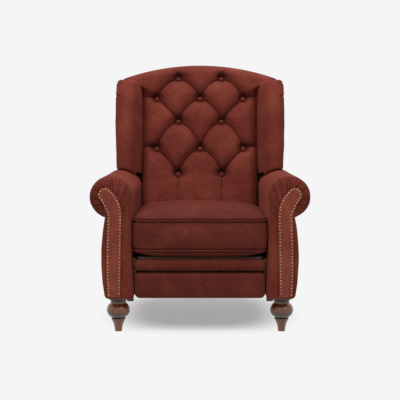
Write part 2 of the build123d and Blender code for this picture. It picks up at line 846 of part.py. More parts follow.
stile_in_x = stile_out_x - stile_wide
post_in_x = back_half_width - stile_wide
save(pair([back_timber(stile_in_x, stile_out_x, stile_foot, top_rail_low)]), "back_stiles")
save(back_timber(-stile_in_x, stile_in_x, low_rail_top - stile_wide, low_rail_top), "back_low_rail")
save(
    pair([back_timber(stile_out_x, back_half_width, shoulder_rail_low, shoulder_rail_top)]),
    "back_shoulders",
)
save(pair([back_timber(post_in_x, back_half_width, shoulder_rail_top, top_rail_low)]), "back_posts")
with BuildPart() as back_top_rail:
    with BuildSketch(back_plane.offset(-frame_thick)):
        add(arch(back_half_width, back_top, side_top, top_rail_low))
    extrude(amount=frame_thick)
save(back_top_rail.part, "back_top_rail")

with BuildPart() as back_webbing:
    with BuildSketch(back_plane):
        strap_room = top_rail_low - low_rail_top
        with Locations((0, low_rail_top + strap_room / 2)):
            with GridLocations(0, strap_room / back_strap_count, 1, back_strap_count):
                Rectangle(2 * stile_out_x, strap_wide)
    extrude(amount=strap_thick)
save(back_webbing.part, "back_webbing")

# ---------------------------------------------------------------- tufted pad
tuft_side = crown_steps[0][1]
tuft_crown = crown_steps[-1][1]
tuft_spots = []
for row, height in enumerate(tuft_rows):
    columns = [-1, 1] if row % 2 == 0 else [-2, 0, 2]
    tuft_spots += [(column * tuft_column, height) for column in columns]
pleats = []
for n, one in enumerate(tuft_spots):
    for other in tuft_spots[n + 1:]:
        across, up = other[0] - one[0], other[1] - one[1]
        if abs(across) == tuft_column and hypot(across, up) < 2 * tuft_column:
            pleats.append((one, other))
for spot in tuft_spots:
    if abs(spot[0]) == 2 * tuft_column:
        pleats.append((spot, (spot[0] / (2 * tuft_column) * reach_far, spot[1])))
for spot in tuft_spots[:2]:
    pleats.append((spot, (spot[0], -reach_far)))
for spot in tuft_spots[-2:]:
    pleats.append((spot, (spot[0], reach_far)))


def pleat_cutter(start, end):
    """A groove from one tuft to another, as a wedge with its edge at the pleat's bottom."""
    long = hypot(end[0] - start[0], end[1] - start[1])
    along = Vector(end[0] - start[0], end[1] - start[1], 0) / long
    half = (pleat_depth + cut_past) * tan(radians(pleat_half_angle))
    with BuildPart() as wedge:
        with BuildSketch(
            Plane(
                (start[0], start[1], tuft_crown - pleat_depth),
                x_dir=along.rotate(Axis.Z, 90),
                z_dir=along,
            )
        ):
            with BuildLine():
                Polyline(
                    (0, 0), (half, pleat_depth + cut_past), (-half, pleat_depth + cut_past), (0, 0)
                )
            make_face()
        extrude(amount=long)
    return wedge.part


arch_radius = (back_half_width**2 + (back_top - side_top) ** 2) / (2 * (back_top - side_top))
pad_side_top = back_top - arch_radius + (arch_radius**2 - pad_half**2) ** 0.5
tuft_bottom = tuft_crown - tuft_depth
with BuildPart() as pad_body:  # in the sketch frame of the back: Z is forward
    with BuildSketch(Plane.XY.offset(strap_thick)):
        add(arch(pad_half, back_top, pad_side_top, back_bottom))
    extrude(amount=tuft_side - strap_thick)
    for low, high in zip(crown_steps[:-1], crown_steps[1:]):
        for inset, forward in (low, high):
            with BuildSketch(Plane.XY.offset(forward)):
                add(
                    arch(
                        pad_half - inset,
                        back_top - inset,
                        pad_side_top - inset,
                        back_bottom + inset,
                    )
                )
        loft()
    with Locations(*[(x, up, tuft_bottom) for x, up in tuft_spots]):
        Cone(
            tuft_floor_radius,
            tuft_floor_radius + tuft_flare * (tuft_depth + cut_past),
            tuft_depth + cut_past,
            align=(Align.CENTER, Align.CENTER, Align.MIN),
            mode=Mode.SUBTRACT,
        )
    for start, end in pleats:
        add(pleat_cutter(start, end), mode=Mode.SUBTRACT)
save(back_plane * pad_body.part, "back_pad")

with BuildPart() as buttons:
    with Locations(*[(x, up, tuft_bottom) for x, up in tuft_spots]):
        Cylinder(button_radius, button_height / 2, align=(Align.CENTER, Align.CENTER, Align.MIN))
    with Locations(*[(x, up, tuft_bottom + button_height / 2) for x, up in tuft_spots]):
        Cone(
            button_radius,
            button_crown_radius,
            button_height / 2,
            align=(Align.CENTER, Align.CENTER, Align.MIN),
        )
save(back_plane * buttons.part, "back_buttons")

# ---------------------------------------------------------------- wings
wing_low = shoulder_up - wing_reach * sin(rake)


def wing_section(up, inset, reach):
    """The wing cut square to the rake: straight sides and a round nose."""
    with BuildSketch(
        Plane(back_plane.origin + back_plane.y_dir * up, x_dir=(1, 0, 0), z_dir=back_plane.y_dir)
    ) as outline:
        with BuildLine():
            side_end = wing_nose - reach
            inner_face = Line((wing_root_x + inset, 0), (wing_front_in_x + inset, side_end))
            nose_arc = ThreePointArc(
                inner_face @ 1,
                ((wing_front_in_x + wing_out_x) / 2, -reach),
                (wing_out_x - inset, side_end),
            )
            outer_face = Line(nose_arc @ 1, (wing_out_x - inset, 0))
            Line(outer_face @ 1, inner_face @ 0)
        make_face()
    return outline.sketch


with BuildPart() as wing_blank:
    add(wing_section(wing_low, 0, wing_reach))
    add(wing_section(wing_top - wing_top_high, 0, wing_reach))
    loft()
    add(wing_section(wing_top - wing_top_high, 0, wing_reach))
    add(wing_section(wing_top, wing_top_inset, wing_reach - wing_top_back))
    loft()
wing_board_low = shoulder_up + wing_top_inset
wing_board_top = wing_top - wing_top_high
with BuildPart() as wing_board:
    with BuildSketch(back_plane):
        with Locations(((wing_front_in_x + wing_out_x) / 2, (wing_board_low + wing_board_top) / 2)):
            Rectangle(wing_board_thick, wing_board_top - wing_board_low)
    extrude(amount=wing_board_reach)
both_sides(wing_blank.part - wing_board.part - under_shoulder, "wing")
save(pair([wing_board.part]), "wing_boards")

# ---------------------------------------------------------------- outside of the back
below_shoulder = shoulder_up - outside_tuck
with BuildPart() as outside_blank:
    with BuildSketch(back_plane.offset(-frame_thick - outside_thick)):
        add(arch(wing_out_x, back_top + outside_thick, side_top, below_shoulder))
    extrude(amount=frame_thick + outside_thick)
with BuildPart() as outside_pocket:
    with BuildSketch(back_plane.offset(-frame_thick)):
        add(arch(back_half_width, back_top, side_top, below_shoulder))
    extrude(amount=frame_thick)
save(outside_blank.part - outside_pocket.part - under_shoulder, "outside_back")

with BuildPart() as outside_skirt_blank:  # the narrow part between the arms
    with BuildSketch(back_plane.offset(-frame_thick - outside_thick)):
        with Locations((0, (shoulder_rail_low + outside_foot) / 2)):
            Rectangle(2 * lower_half_width, shoulder_rail_low - outside_foot)
    extrude(amount=frame_thick + outside_thick)
with BuildPart() as outside_skirt_pocket:
    with BuildSketch(back_plane.offset(-frame_thick)):
        with Locations((0, (shoulder_rail_low + stile_foot) / 2)):
            Rectangle(2 * plate_inner_x, shoulder_rail_low - stile_foot)
    extrude(amount=frame_thick)
save(
    (outside_skirt_blank.part - outside_skirt_pocket.part) & under_shoulder, "outside_back_skirt"
)

# ---------------------------------------------------------------- back brackets
bracket_line = [
    Vector(back_plane.origin) + back_plane.y_dir * up - back_plane.z_dir * frame_thick / 2
    for up in bracket_ups
]
bracket_spots = [(pivot_y, pivot_z)] + [(spot.Y, spot.Z) for spot in bracket_line]
with BuildPart() as back_bracket:
    with BuildSketch(Plane.YZ.offset(bracket_x)):
        for start, end in zip(bracket_spots[:-1], bracket_spots[1:]):
            with BuildSketch(mode=Mode.PRIVATE) as leg:
                with Locations(start, end):
                    Circle(bracket_wide / 2)
                make_hull()
            add(leg.sketch)
        with Locations((pivot_y, pivot_z)):
            Circle(pivot_radius + pin_clearance, mode=Mode.SUBTRACT)
    extrude(amount=bracket_thick)
save(pair([back_bracket.part]), "back_brackets")
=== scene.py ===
import json
import math

import bpy
import mathutils
import numpy as np
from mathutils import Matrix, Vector, noise


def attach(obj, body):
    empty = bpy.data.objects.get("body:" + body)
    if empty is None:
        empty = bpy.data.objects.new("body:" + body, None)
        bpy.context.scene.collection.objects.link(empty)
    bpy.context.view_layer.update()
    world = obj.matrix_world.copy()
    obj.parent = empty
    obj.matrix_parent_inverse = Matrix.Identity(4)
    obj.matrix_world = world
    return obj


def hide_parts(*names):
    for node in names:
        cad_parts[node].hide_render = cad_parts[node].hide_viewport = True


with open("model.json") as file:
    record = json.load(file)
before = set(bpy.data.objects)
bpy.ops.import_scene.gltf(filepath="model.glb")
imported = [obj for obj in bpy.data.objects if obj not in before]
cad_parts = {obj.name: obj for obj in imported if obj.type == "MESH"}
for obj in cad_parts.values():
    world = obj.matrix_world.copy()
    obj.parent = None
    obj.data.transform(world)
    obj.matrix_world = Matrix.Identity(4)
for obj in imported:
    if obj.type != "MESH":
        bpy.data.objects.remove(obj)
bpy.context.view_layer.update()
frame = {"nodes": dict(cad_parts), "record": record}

print("frame loaded")

# the chair as a whole, in metres: x is the width, -y the front, z up
chair = {
    "frontY": -0.425,
    "armLength": 0.715,
    "backBase": (0.168, 0.300),  # y and z where the rake line starts
    "rake": 14.0,
    "shoulderZ": 0.645,  # the wings and the upper back begin here, just over the arms
}
rakeSin = math.sin(math.radians(chair["rake"]))
rakeCos = math.cos(math.radians(chair["rake"]))
sideNames = {-1: "Left", 1: "Right"}


def joined(*parts):
    # columns side by side; a plain number fills its own
    return np.stack(np.broadcast_arrays(*parts), axis=-1)


def onBack(x, up, forward):
    # places given across, up the rake and forward of the back's frame
    baseY, baseZ = chair["backBase"]
    y = baseY + up * rakeSin - forward * rakeCos
    return joined(x, y, baseZ + up * rakeCos + forward * rakeSin)


def upAtHeight(z, forward):
    # how far up the rake a height is
    return (z - chair["backBase"][1] - forward * rakeSin) / rakeCos


def smoothStep(value, low, high):
    part = np.clip((value - low) / (high - low), 0.0, 1.0)
    return part * part * (3.0 - 2.0 * part)


def domed(part):
    # rises as a quarter round from 0 at an edge to 1
    return np.sqrt(1 - (1 - np.clip(part, 0, 1)) ** 2)


def addMesh(name, points, faces):
    mesh = bpy.data.meshes.new(name)
    mesh.from_pydata([tuple(point) for point in points], [], faces)
    piece = bpy.data.objects.new(name, mesh)
    bpy.context.collection.objects.link(piece)
    return piece


def selectOnly(piece):
    bpy.ops.object.select_all(action="DESELECT")
    piece.select_set(True)
    bpy.context.view_layer.objects.active = piece


def closeAndSmooth(piece, angle=60.0):
    selectOnly(piece)
    bpy.ops.object.mode_set(mode="EDIT")
    bpy.ops.mesh.select_all(action="SELECT")
    bpy.ops.mesh.remove_doubles(threshold=0.00002)
    bpy.ops.mesh.normals_make_consistent(inside=False)
    bpy.ops.object.mode_set(mode="OBJECT")
    bpy.ops.object.shade_smooth_by_angle(angle=math.radians(angle))


def ringsToPiece(name, rings):
    # a closed form from rings of equally many points, its two ends filled
    count = len(rings[0])
    points = [point for ring in rings for point in ring]
    faces = []
    for base in range(0, len(points) - count, count):
        for n in range(count):
            after = (n + 1) % count
            faces.append((base + n, base + after, base + count + after, base + count + n))
    faces += [tuple(range(count)), tuple(range(len(points) - count, len(points)))]
    return addMesh(name, points, faces)


def gridFaces(columns, rows):
    # a grid's faces, and the numbers of the points round its rim
    count = columns + 1
    corners = [row * count + column for row in range(rows) for column in range(columns)]
    faces = [(n, n + 1, n + count + 1, n + count) for n in corners]
    rim = list(range(count)) + [row * count + columns for row in range(1, rows + 1)]
    rim += [rows * count + column for column in range(columns - 1, -1, -1)]
    rim += [row * count for row in range(rows - 1, 0, -1)]
    return faces, rim


def bandFaces(near, far):
    # the faces between two closed rows of point numbers
    after = [*range(1, len(near)), 0]
    return [(near[n], far[n], far[m], near[m]) for n, m in enumerate(after)]


def addCopies(name, first, places, put):
    # one piece that repeats the first one's mesh where put lays it; the first one goes
    shape = pointsOf(first)
    sides = [list(face.vertices) for face in first.data.polygons]
    bpy.data.objects.remove(first)
    faces = [[n * len(shape) + corner for corner in side] for n in range(len(places)) for side in sides]
    return addMesh(name, np.concatenate([put(shape, place) for place in places]), faces)


def softNoise(points, size, seed=0.0):
    # smooth noise from -1 to 1 at each point, its blobs about size across
    offset = Vector((seed, seed * 0.7, seed * 1.3))
    return np.array([noise.noise(Vector(point) / size + offset) for point in points])


def ripples(points, waves):
    # noises added up, each given as height, size and seed
    return sum(high * softNoise(points, size, seed) for high, size, seed in waves)


def pointsOf(piece):
    return np.array([tuple(point.co) for point in piece.data.vertices])


def paintShade(piece, values):
    # painted shade at each point, from 0 to 1, deepest in the folds, for the fabric's colour
    layer = piece.data.attributes.new("paintedShade", "FLOAT", "POINT")
    layer.data.foreach_set("value", np.asarray(values, dtype=np.float32))


def dress(piece, material, body, nodes):
    piece.data.materials.clear()
    piece.data.materials.append(material)
    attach(piece, body)
    if nodes:
        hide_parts(*nodes)


def upholster(piece, paintedShades, angle, material, body, *nodes, swell=()):
    paintShade(piece, paintedShades)
    closeAndSmooth(piece, angle)
    if swell:
        relaxPad(piece, *swell)
    dress(piece, material, body, nodes)


def newGroup(name, inputs, outputs):
    group = bpy.data.node_groups.new(name, "ShaderNodeTree")
    for side, sockets in (("INPUT", inputs), ("OUTPUT", outputs)):
        for label, kind in sockets.items():
            group.interface.new_socket(name=label, in_out=side, socket_type="NodeSocket" + kind)
    return group, group.nodes.new("NodeGroupInput").outputs, group.nodes.new("NodeGroupOutput")


def give(node, values):
    # inputs by name or place, each a plain value or a socket to link
    for key, value in values.items():
        if isinstance(value, bpy.types.NodeSocket):
            node.id_data.links.new(value, node.inputs[key])
        else:
            node.inputs[key].default_value = value


def addNode(tree, kind, values=None, **settings):
    node = tree.nodes.new("ShaderNode" + kind)
    for key, value in settings.items():
        setattr(node, key, value)
    give(node, values or {})
    return node


def mixColour(tree, factor, colourA, colourB):
    values = {0: factor, 6: colourA, 7: colourB}
    return addNode(tree, "Mix", values, data_type="RGBA").outputs[2]


def doMath(tree, kind, first, second=0.0, clamp=False):
    values = {0: first, 1: second}
    return addNode(tree, "Math", values, operation=kind, use_clamp=clamp).outputs[0]


def maskOver(tree, value, low, gain):
    # how far a value is over low, times gain, held from 0 to 1
    return doMath(tree, "MULTIPLY", doMath(tree, "SUBTRACT", value, low, True), gain, True)


def scaled(tree, value, gain, start):
    return doMath(tree, "ADD", doMath(tree, "MULTIPLY", value, gain), start)


def bumpOf(tree, height, strength, depth):
    values = {"Height": height, "Strength": strength, "Distance": depth}
    return addNode(tree, "Bump", values).outputs["Normal"]


def objectPlace(tree, stretch=(1, 1, 1), shift=(0, 0, 0)):
    # Object coordinates, stretched along the axes
    place = addNode(tree, "TexCoord").outputs["Object"]
    values = {"Vector": place, "Location": shift, "Scale": stretch}
    return addNode(tree, "Mapping", values).outputs["Vector"]


def noiseAt(tree, vector, size, detail, roughness, distortion=0.0):
    values = {"Vector": vector, "Scale": size, "Detail": detail, "Roughness": roughness}
    values["Distortion"] = distortion
    return addNode(tree, "TexNoise", values).outputs["Fac"]


pile = {
    "clouds": (9.0, 3.0, 0.55),  # size, detail and roughness
    "streaks": (260.0, 3.0, 0.65), "streakStretch": (1, 1, 0.3), "mottle": (200.0, 3.0, 0.7),
    "cloudMask": (0.42, 2.6),  # from where on, and how steeply
    "streakMask": (0.44, 5.0), "fleckMask": (0.5, 5.0),
    "streakShade": 0.34, "fleckLight": 0.5, "roughLow": 0.74, "roughSpan": 0.14,
}


def buildPileGroup():
    # brushed pile: broad worn clouds, short streaks down the cloth and fine mottling
    tones = ("Pile Colour", "Light Colour", "Shade Colour")
    group, given, result = newGroup(
        "brushedPile",
        {**dict.fromkeys(tones, "Color"), "Painted Shade": "Float"},
        {"Color": "Color", "Roughness": "Float", "Height": "Float"},
    )
    plain, light, shade = (given[tone] for tone in tones)
    clouds = noiseAt(group, objectPlace(group), *pile["clouds"])
    streaks = noiseAt(group, objectPlace(group, pile["streakStretch"]), *pile["streaks"])
    mottle = noiseAt(group, objectPlace(group), *pile["mottle"])
    streakMask = maskOver(group, streaks, *pile["streakMask"])
    fleckMask = maskOver(group, mottle, *pile["fleckMask"])
    base = mixColour(group, maskOver(group, clouds, *pile["cloudMask"]), plain, light)
    streaked = mixColour(group, doMath(group, "MULTIPLY", streakMask, pile["streakShade"]), base, shade)
    flecked = mixColour(group, doMath(group, "MULTIPLY", fleckMask, pile["fleckLight"]), streaked, light)
    # the painted shade darkens the colour towards the shade colour
    give(result, {
        "Color": mixColour(group, given["Painted Shade"], flecked, shade),
        "Roughness": scaled(group, streakMask, pile["roughSpan"], pile["roughLow"]),
        "Height": doMath(group, "ADD", streaks, mottle),
    })
    return group


pileGroup = buildPileGroup()


def newMaterial(name):
    material = bpy.data.materials.new(name)
    material.use_nodes = True
    return material, material.node_tree, material.node_tree.nodes["Principled BSDF"]


cloth = {
    "tones": {
        "Pile Colour": (0.150, 0.0235, 0.0150),
        "Light Colour": (0.235, 0.050, 0.030),
        "Shade Colour": (0.028, 0.0050, 0.0040),
    },
    "creaseShade": 0.85,
    "bumpStrength": 0.55,
    "bumpDepth": 0.0011,
    "sheen": 0.16,
    "sheenRoughness": 0.45,
    "sheenTint": (0.8, 0.22, 0.14, 1),
    "gloss": 0.12,
}


def makeCloth(name, lift, pale=0.0):
    # lift brightens or darkens the tones as painted light or shade, pale how far it greys
    material, tree, shader = newMaterial(name)
    values = {key: [part * lift + pale for part in tone] + [1.0] for key, tone in cloth["tones"].items()}
    # painted shade, read from each point's value
    paintedShade = addNode(tree, "Attribute", attribute_name="paintedShade").outputs["Fac"]
    values["Painted Shade"] = doMath(tree, "MULTIPLY", paintedShade, cloth["creaseShade"], True)
    weave = addNode(tree, "Group", values, node_tree=pileGroup).outputs
    give(shader, {
        "Base Color": weave["Color"],
        "Roughness": weave["Roughness"],
        "Normal": bumpOf(tree, weave["Height"], cloth["bumpStrength"], cloth["bumpDepth"]),
        "Sheen Weight": cloth["sheen"] * lift,
        "Sheen Roughness": cloth["sheenRoughness"],
        "Sheen Tint": cloth["sheenTint"],
        "Specular IOR Level": cloth["gloss"],
    })
    return material


# the plain cloth, a painted-light copy for the arm facings and a painted-shade copy for the seat and footrest
# pads
redChenille = makeCloth("redChenille", 1.0)
paintedLightChenille = makeCloth("paintedLightChenille", 1.33, 0.010)
paintedShadeChenille = makeCloth("paintedShadeChenille", 0.7)

relax = {"voxel": 0.006, "pressure": 4.0, "frames": 20, "near": 4, "blur": 0.001, "quality": 4}


def relaxPad(piece, cap, free):
    # a cloth run on a remeshed copy, whose capped swelling is carried over to the seamed piece
    scene = bpy.context.scene
    trial = bpy.data.objects.new("padTrial", piece.data.copy())
    scene.collection.objects.link(trial)
    selectOnly(trial)
    remesh = trial.modifiers.new("remesh", "REMESH")
    remesh.mode = "VOXEL"
    remesh.voxel_size = relax["voxel"]
    bpy.ops.object.modifier_apply(modifier="remesh")
    start = pointsOf(trial)
    filled = trial.modifiers.new("filled", "CLOTH")
    filled.settings.quality = relax["quality"]
    filled.settings.use_pressure = True
    filled.settings.uniform_pressure_force = relax["pressure"]
    filled.settings.effector_weights.gravity = 0
    filled.point_cache.frame_start = 1
    filled.point_cache.frame_end = relax["frames"]
    for step in range(1, relax["frames"] + 1):
        scene.frame_set(step)
    push = pointsOf(trial.evaluated_get(bpy.context.evaluated_depsgraph_get())) - start
    length = np.linalg.norm(push, axis=1)
    print("swelling before the cap", piece.name, round(float(length.max()), 4))
    push *= np.minimum(1, cap / np.maximum(length, 1e-9))[:, None]
    search = mathutils.kdtree.KDTree(len(start))
    for n, point in enumerate(start):
        search.insert(point, n)
    search.balance()
    places = pointsOf(piece)
    moves = np.zeros_like(places)
    for n, point in enumerate(places):
        found = search.find_n(point, relax["near"])
        weights = np.array([1 / (entry[2] + relax["blur"]) for entry in found])
        moves[n] = (push[[entry[1] for entry in found]] * weights[:, None]).sum(axis=0) / weights.sum()
    places += moves * free(places)
    piece.data.vertices.foreach_set("co", places.ravel())
    piece.data.update()
    scene.frame_set(1)
    mesh = trial.data
    bpy.data.objects.remove(trial)
    bpy.data.meshes.remove(mesh)


def onlyForward(places):
    # swelling towards the front alone
    return np.array([0.0, 1.0, 0.0])

tuft = {
    "columns": 0.100,
    "rows": (0.301, 0.420, 0.548, 0.657, 0.754),  # up the rake, two and three by turns
    "bottomForward": 0.034, "rimForward": 0.012, "crown": 0.080, "sideHalf": 0.2684,
    "topFlare": 0.074, "flareFrom": 0.668, "flareTo": 0.758, "low": 0.098, "archTop": 0.822,
    "archDrop": 0.063,  # from the arch's top to its ends
    "archHalf": 0.352, "edgeRound": 0.052, "foldWidth": 0.022,
    "foldDepths": (0.021, 0.023),  # at a fold's middle, and how much more at its ends
    "archOuter": 0.15,  # folds down from the outer columns are nearly straight
    "archInner": 0.55, "slit": 0.0040, "slitWidth": 0.0022, "sunburst": 0.019, "burstWide": 0.7,
    "pucker": 0.0022, "buttonWell": 0.021, "waves": ((0.0011, 0.035, 3.0), (0.0006, 0.011, 8.0)),
    "cell": 0.0021,
}


def buttonSpots():
    spots = []
    for row, up in enumerate(tuft["rows"]):
        places = (-1, 1) if row % 2 == 0 else (-2, 0, 2)
        spots += [(place * tuft["columns"], up) for place in places]
    return spots


def foldLines():
    # each fold as sampled places, with how near an end each is and how strong the fold is
    lines = []
    spots = buttonSpots()
    step = np.linspace(0, 1, 26)
    for upper in spots:
        for lower in spots:
            across, drop = lower[0] - upper[0], upper[1] - lower[1]
            if abs(abs(across) - tuft["columns"]) > 0.01 or not 0.05 < drop < 0.2:
                continue
            arch = tuft["archOuter"] if abs(upper[0]) > 0.15 else tuft["archInner"]
            turn = step * math.pi / 2
            x = upper[0] + across * ((1 - arch) * step + arch * np.sin(turn))
            up = lower[1] + drop * ((1 - arch) * (1 - step) + arch * np.cos(turn))
            lines.append((x, up, np.abs(2 * step - 1), 1.0))
    for x0, up0 in spots:
        if abs(x0) > 1.5 * tuft["columns"]:
            x = x0 + np.sign(x0) * step * 0.09
            lines.append((x, up0 + 0.010 * np.sin(step * math.pi), 1 - step, 0.85))
    for x0, up0 in spots[-2:]:
        lines.append((x0 + np.sign(x0) * 0.03 * step, up0 + 0.075 * step, 1 - step, 0.5))
    for x0, up0 in spots[:2]:
        lines.append((x0 + 0 * step, up0 - 0.19 * step, 1 - step, 0.6))
    return lines


def archTopAt(x):
    half, drop = tuft["archHalf"], tuft["archDrop"]
    radius = (half * half + drop * drop) / (2 * drop)
    return tuft["archTop"] - radius + np.sqrt(radius * radius - x * x)


def buildBackPad():
    low, tall = tuft["low"], tuft["archTop"] - tuft["low"]
    columns, rows = int(2 * tuft["sideHalf"] / tuft["cell"]), int(tall / tuft["cell"])
    across, height = np.meshgrid(np.linspace(-1, 1, columns + 1), np.linspace(0, 1, rows + 1))
    across, height = across.ravel(), height.ravel()
    x = across * tuft["sideHalf"]
    flare = smoothStep(low + height * (archTopAt(x * 1.12) - low), tuft["flareFrom"], tuft["flareTo"])
    x = x * (1 + flare * tuft["topFlare"] / tuft["sideHalf"])
    up = low + height * (archTopAt(x) - low)
    roundness = np.ones_like(x)
    sides = ((1 - np.abs(across)) * tuft["sideHalf"], 1 - 0.7 * flare)
    for edge, share in (sides, ((1 - height) * tall, 1.0), (height * tall, 1.0)):
        roundness *= domed(edge / (tuft["edgeRound"] * share))
    full = tuft["rimForward"] + (tuft["crown"] - tuft["rimForward"]) * roundness
    total, slit, pull, burst = (np.zeros_like(x) for n in range(4))
    inMiddle, atEnds = tuft["foldDepths"]
    for lineX, lineUp, ends, strength in foldLines():
        apart, depth = np.full_like(x, 9.0), np.zeros_like(x)
        for pointX, pointUp, end in zip(lineX, lineUp, ends):
            near = np.hypot(x - pointX, up - pointUp)
            closer = near < apart
            apart = np.where(closer, near, apart)
            depth = np.where(closer, strength * (inMiddle + atEnds * end**2.5), depth)
        total += (depth * np.exp(-((apart / tuft["foldWidth"]) ** 1.15))) ** 4
        slit = np.maximum(slit, strength * np.exp(-((apart / tuft["slitWidth"]) ** 2)))
    # small gathers round each button, and a painted shade, shaped as a sunburst, above it
    for spotX, spotUp in buttonSpots():
        besideX, besideUp = x - spotX, up - spotUp
        away, angle = np.hypot(besideX, besideUp), np.arctan2(besideX, besideUp)
        ray = np.abs(np.sin(6.5 * angle + spotX * 31)) ** 0.5
        ring = np.exp(-(((away - 0.024) / 0.014) ** 2))
        pull += tuft["pucker"] * (1 - ray) * (0.45 + 0.55 * np.cos(angle)) * ring
        spread = np.hypot(tuft["burstWide"] * besideX, besideUp)
        near = np.exp(-((np.maximum(spread - 0.008, 0) / tuft["sunburst"]) ** 2))
        burst = np.maximum(burst, near * (0.25 + 0.75 * np.clip(np.cos(angle), 0, 1)) * (1.3 - 0.75 * ray))
        well = np.exp(-((away / tuft["buttonWell"]) ** 2.2))
        total += ((tuft["crown"] - tuft["bottomForward"]) * well) ** 4
    sunk = total**0.25
    deepest = np.minimum(tuft["bottomForward"] - 0.002, full)
    forward = np.maximum(full - sunk * np.clip(roundness, 0.25, 1), deepest)
    forward -= tuft["slit"] * slit * roundness + pull
    forward += ripples(joined(x, up, forward), tuft["waves"]) * roundness
    # painted shade in the folds, the slits, the puckers and the sunburst, and half of it round the pad's rim
    # behind
    paintedShade = np.clip(sunk / 0.042, 0, 1) ** 1.6 * 0.40 + slit * 1.7 + pull * 90 + burst * 1.45
    faces, rim = gridFaces(columns, rows)
    points = np.concatenate([onBack(x, up, forward), onBack(x[rim], up[rim], 0.002)])
    behind = range(len(x), len(points))
    piece = addMesh("backPad", points, faces + bandFaces(rim, behind) + [tuple(behind)])
    paintedShades = np.append(np.clip(paintedShade, 0, 1), [0.5] * len(rim))
    upholster(piece, paintedShades, 75, redChenille, "back", "back_pad")


buildBackPad()
print("tufted back made")

button = {"radius": 0.0115, "high": 0.008, "lift": 0.0055, "segments": 28}


def buildButtons():
    # one covered button is a ball, pressed flat, then copied
    segments = button["segments"]
    bpy.ops.mesh.primitive_uv_sphere_add(
        segments=segments, ring_count=segments // 2, radius=button["radius"]
    )

    def pressOn(ball, spot):
        forward = tuft["bottomForward"] + button["lift"] + ball[:, 2] * button["high"] / button["radius"]
        return onBack(spot[0] + ball[:, 0], spot[1] + ball[:, 1], forward)

    piece = addCopies("backButtons", bpy.context.object, buttonSpots(), pressOn)
    closeAndSmooth(piece)
    dress(piece, redChenille, "back", ["back_buttons"])


buildButtons()
print("buttons made")

arm = {
    "waistLow": (0.260, 0.159),  # x and z where the inner face leaves the bottom corner
    "waist": (0.2712, 0.400), "rollMeetsInside": (0.2704, 0.530), "rollCentre": (0.352, 0.545),
    "rollRadius": 0.083, "rollMeetsOutside": (0.3749, 0.4652), "outerFullest": (0.391, 0.290),
    "outerLow": (0.380, 0.159), "bottomZ": 0.141, "corner": 0.018, "frontRound": 0.030,
    "legSquareness": 3.4,  # 2 is a plain quarter round
    "headSquareness": 2.3, "rearRound": 0.014, "pleatCount": 27, "pleatDeep": 0.0052,
    "rimShade": 0.42, "pleatReach": 0.075, "wrinkle": 0.0016,
}
panel = {
    "footIn": (0.314, 0.146), "neckIn": (0.3065, 0.470), "headTop": (0.352, 0.576),
    "headOut": (0.392, 0.536), "cheek": (0.374, 0.502), "neckOut": (0.362, 0.470),
    "hip": (0.368, 0.290), "footOut": (0.365, 0.146), "proud": 0.009, "edgeRound": 0.0035,
    "crown": 0.0022,
}


def spaced(line, count, last=False):
    # the line's points again, evenly spaced along it
    line = np.array(line)
    along = np.concatenate([[0], np.cumsum(np.linalg.norm(np.diff(line, axis=0), axis=1))])
    wanted = np.linspace(0, along[-1], count, endpoint=last)
    return np.stack([np.interp(wanted, along, line[:, n]) for n in range(line.shape[1])], axis=1)


def arcFrom(start, direction, end, count=24):
    # an arc that leaves start in the direction given and reaches end, and its last direction
    start, direction, end = (complex(*place) for place in (start, direction, end))
    direction /= abs(direction)
    chord = end - start
    normal = direction * 1j
    centre = start + normal * abs(chord) ** 2 / (2 * (normal.conjugate() * chord).real)
    turn = 2 * np.angle(chord / direction)
    steps = centre + (start - centre) * np.exp(1j * np.linspace(0, turn, count))
    leaving = direction * np.exp(1j * turn)
    return joined(steps.real, steps.imag), (leaving.real, leaving.imag)


def arcThrough(start, middle, end, count=24):
    a, b, c = (complex(*place) for place in (start, middle, end))
    w = (c - a) / (b - a)
    centre = (b - a) * (w - abs(w) ** 2) / (2j * w.imag) + a
    begin = a - centre
    turn = np.angle((c - centre) / begin)
    middleTurn = np.angle((b - centre) / begin)
    if turn * middleTurn < 0 or abs(middleTurn) > abs(turn):
        turn -= math.copysign(2 * math.pi, turn)
    steps = begin * np.exp(1j * np.linspace(0, turn, count)) + centre
    return joined(steps.real, steps.imag)


def roundOf(centre, radius, start, end, count):
    # part of a circle, its ends given in quarter turns
    turns = np.linspace(start, end, count) * math.pi / 2
    return joined(centre[0] + radius * np.cos(turns), centre[1] + radius * np.sin(turns))


def roundSteps(radius, *turns):
    # for each turn in degrees, how far a rounded edge is drawn in and how far short it falls
    return [(radius * (1 - math.cos(a)), radius * (1 - math.sin(a))) for a in np.radians(turns)]


stretches = {"inner": 64, "head": 150, "outer": 56, "sole": 22}


def spacedOutline(inner, head, outer, sole):
    parts = zip((inner, head, outer, sole), stretches.values())
    return np.concatenate([spaced(line, count) for line, count in parts])


def armOutline():
    centre, corner, low = arm["rollCentre"], arm["corner"], arm["bottomZ"] + arm["corner"]
    ends = []
    for place in (arm["rollMeetsInside"], arm["rollMeetsOutside"]):
        ends.append(math.atan2(place[1] - centre[1], place[0] - centre[0]) / (math.pi / 2))
    right = roundOf((arm["outerLow"][0] - corner, low), corner, 0, -1, 8)
    left = roundOf((arm["waistLow"][0] + corner, low), corner, -1, -2, 8)
    return spacedOutline(
        arcThrough(arm["waistLow"], arm["waist"], arm["rollMeetsInside"]),
        roundOf(centre, arm["rollRadius"], ends[0] % 4, ends[1], 90),
        arcThrough(arm["rollMeetsOutside"], arm["outerFullest"], arm["outerLow"]),
        np.concatenate([right, left]),
    )


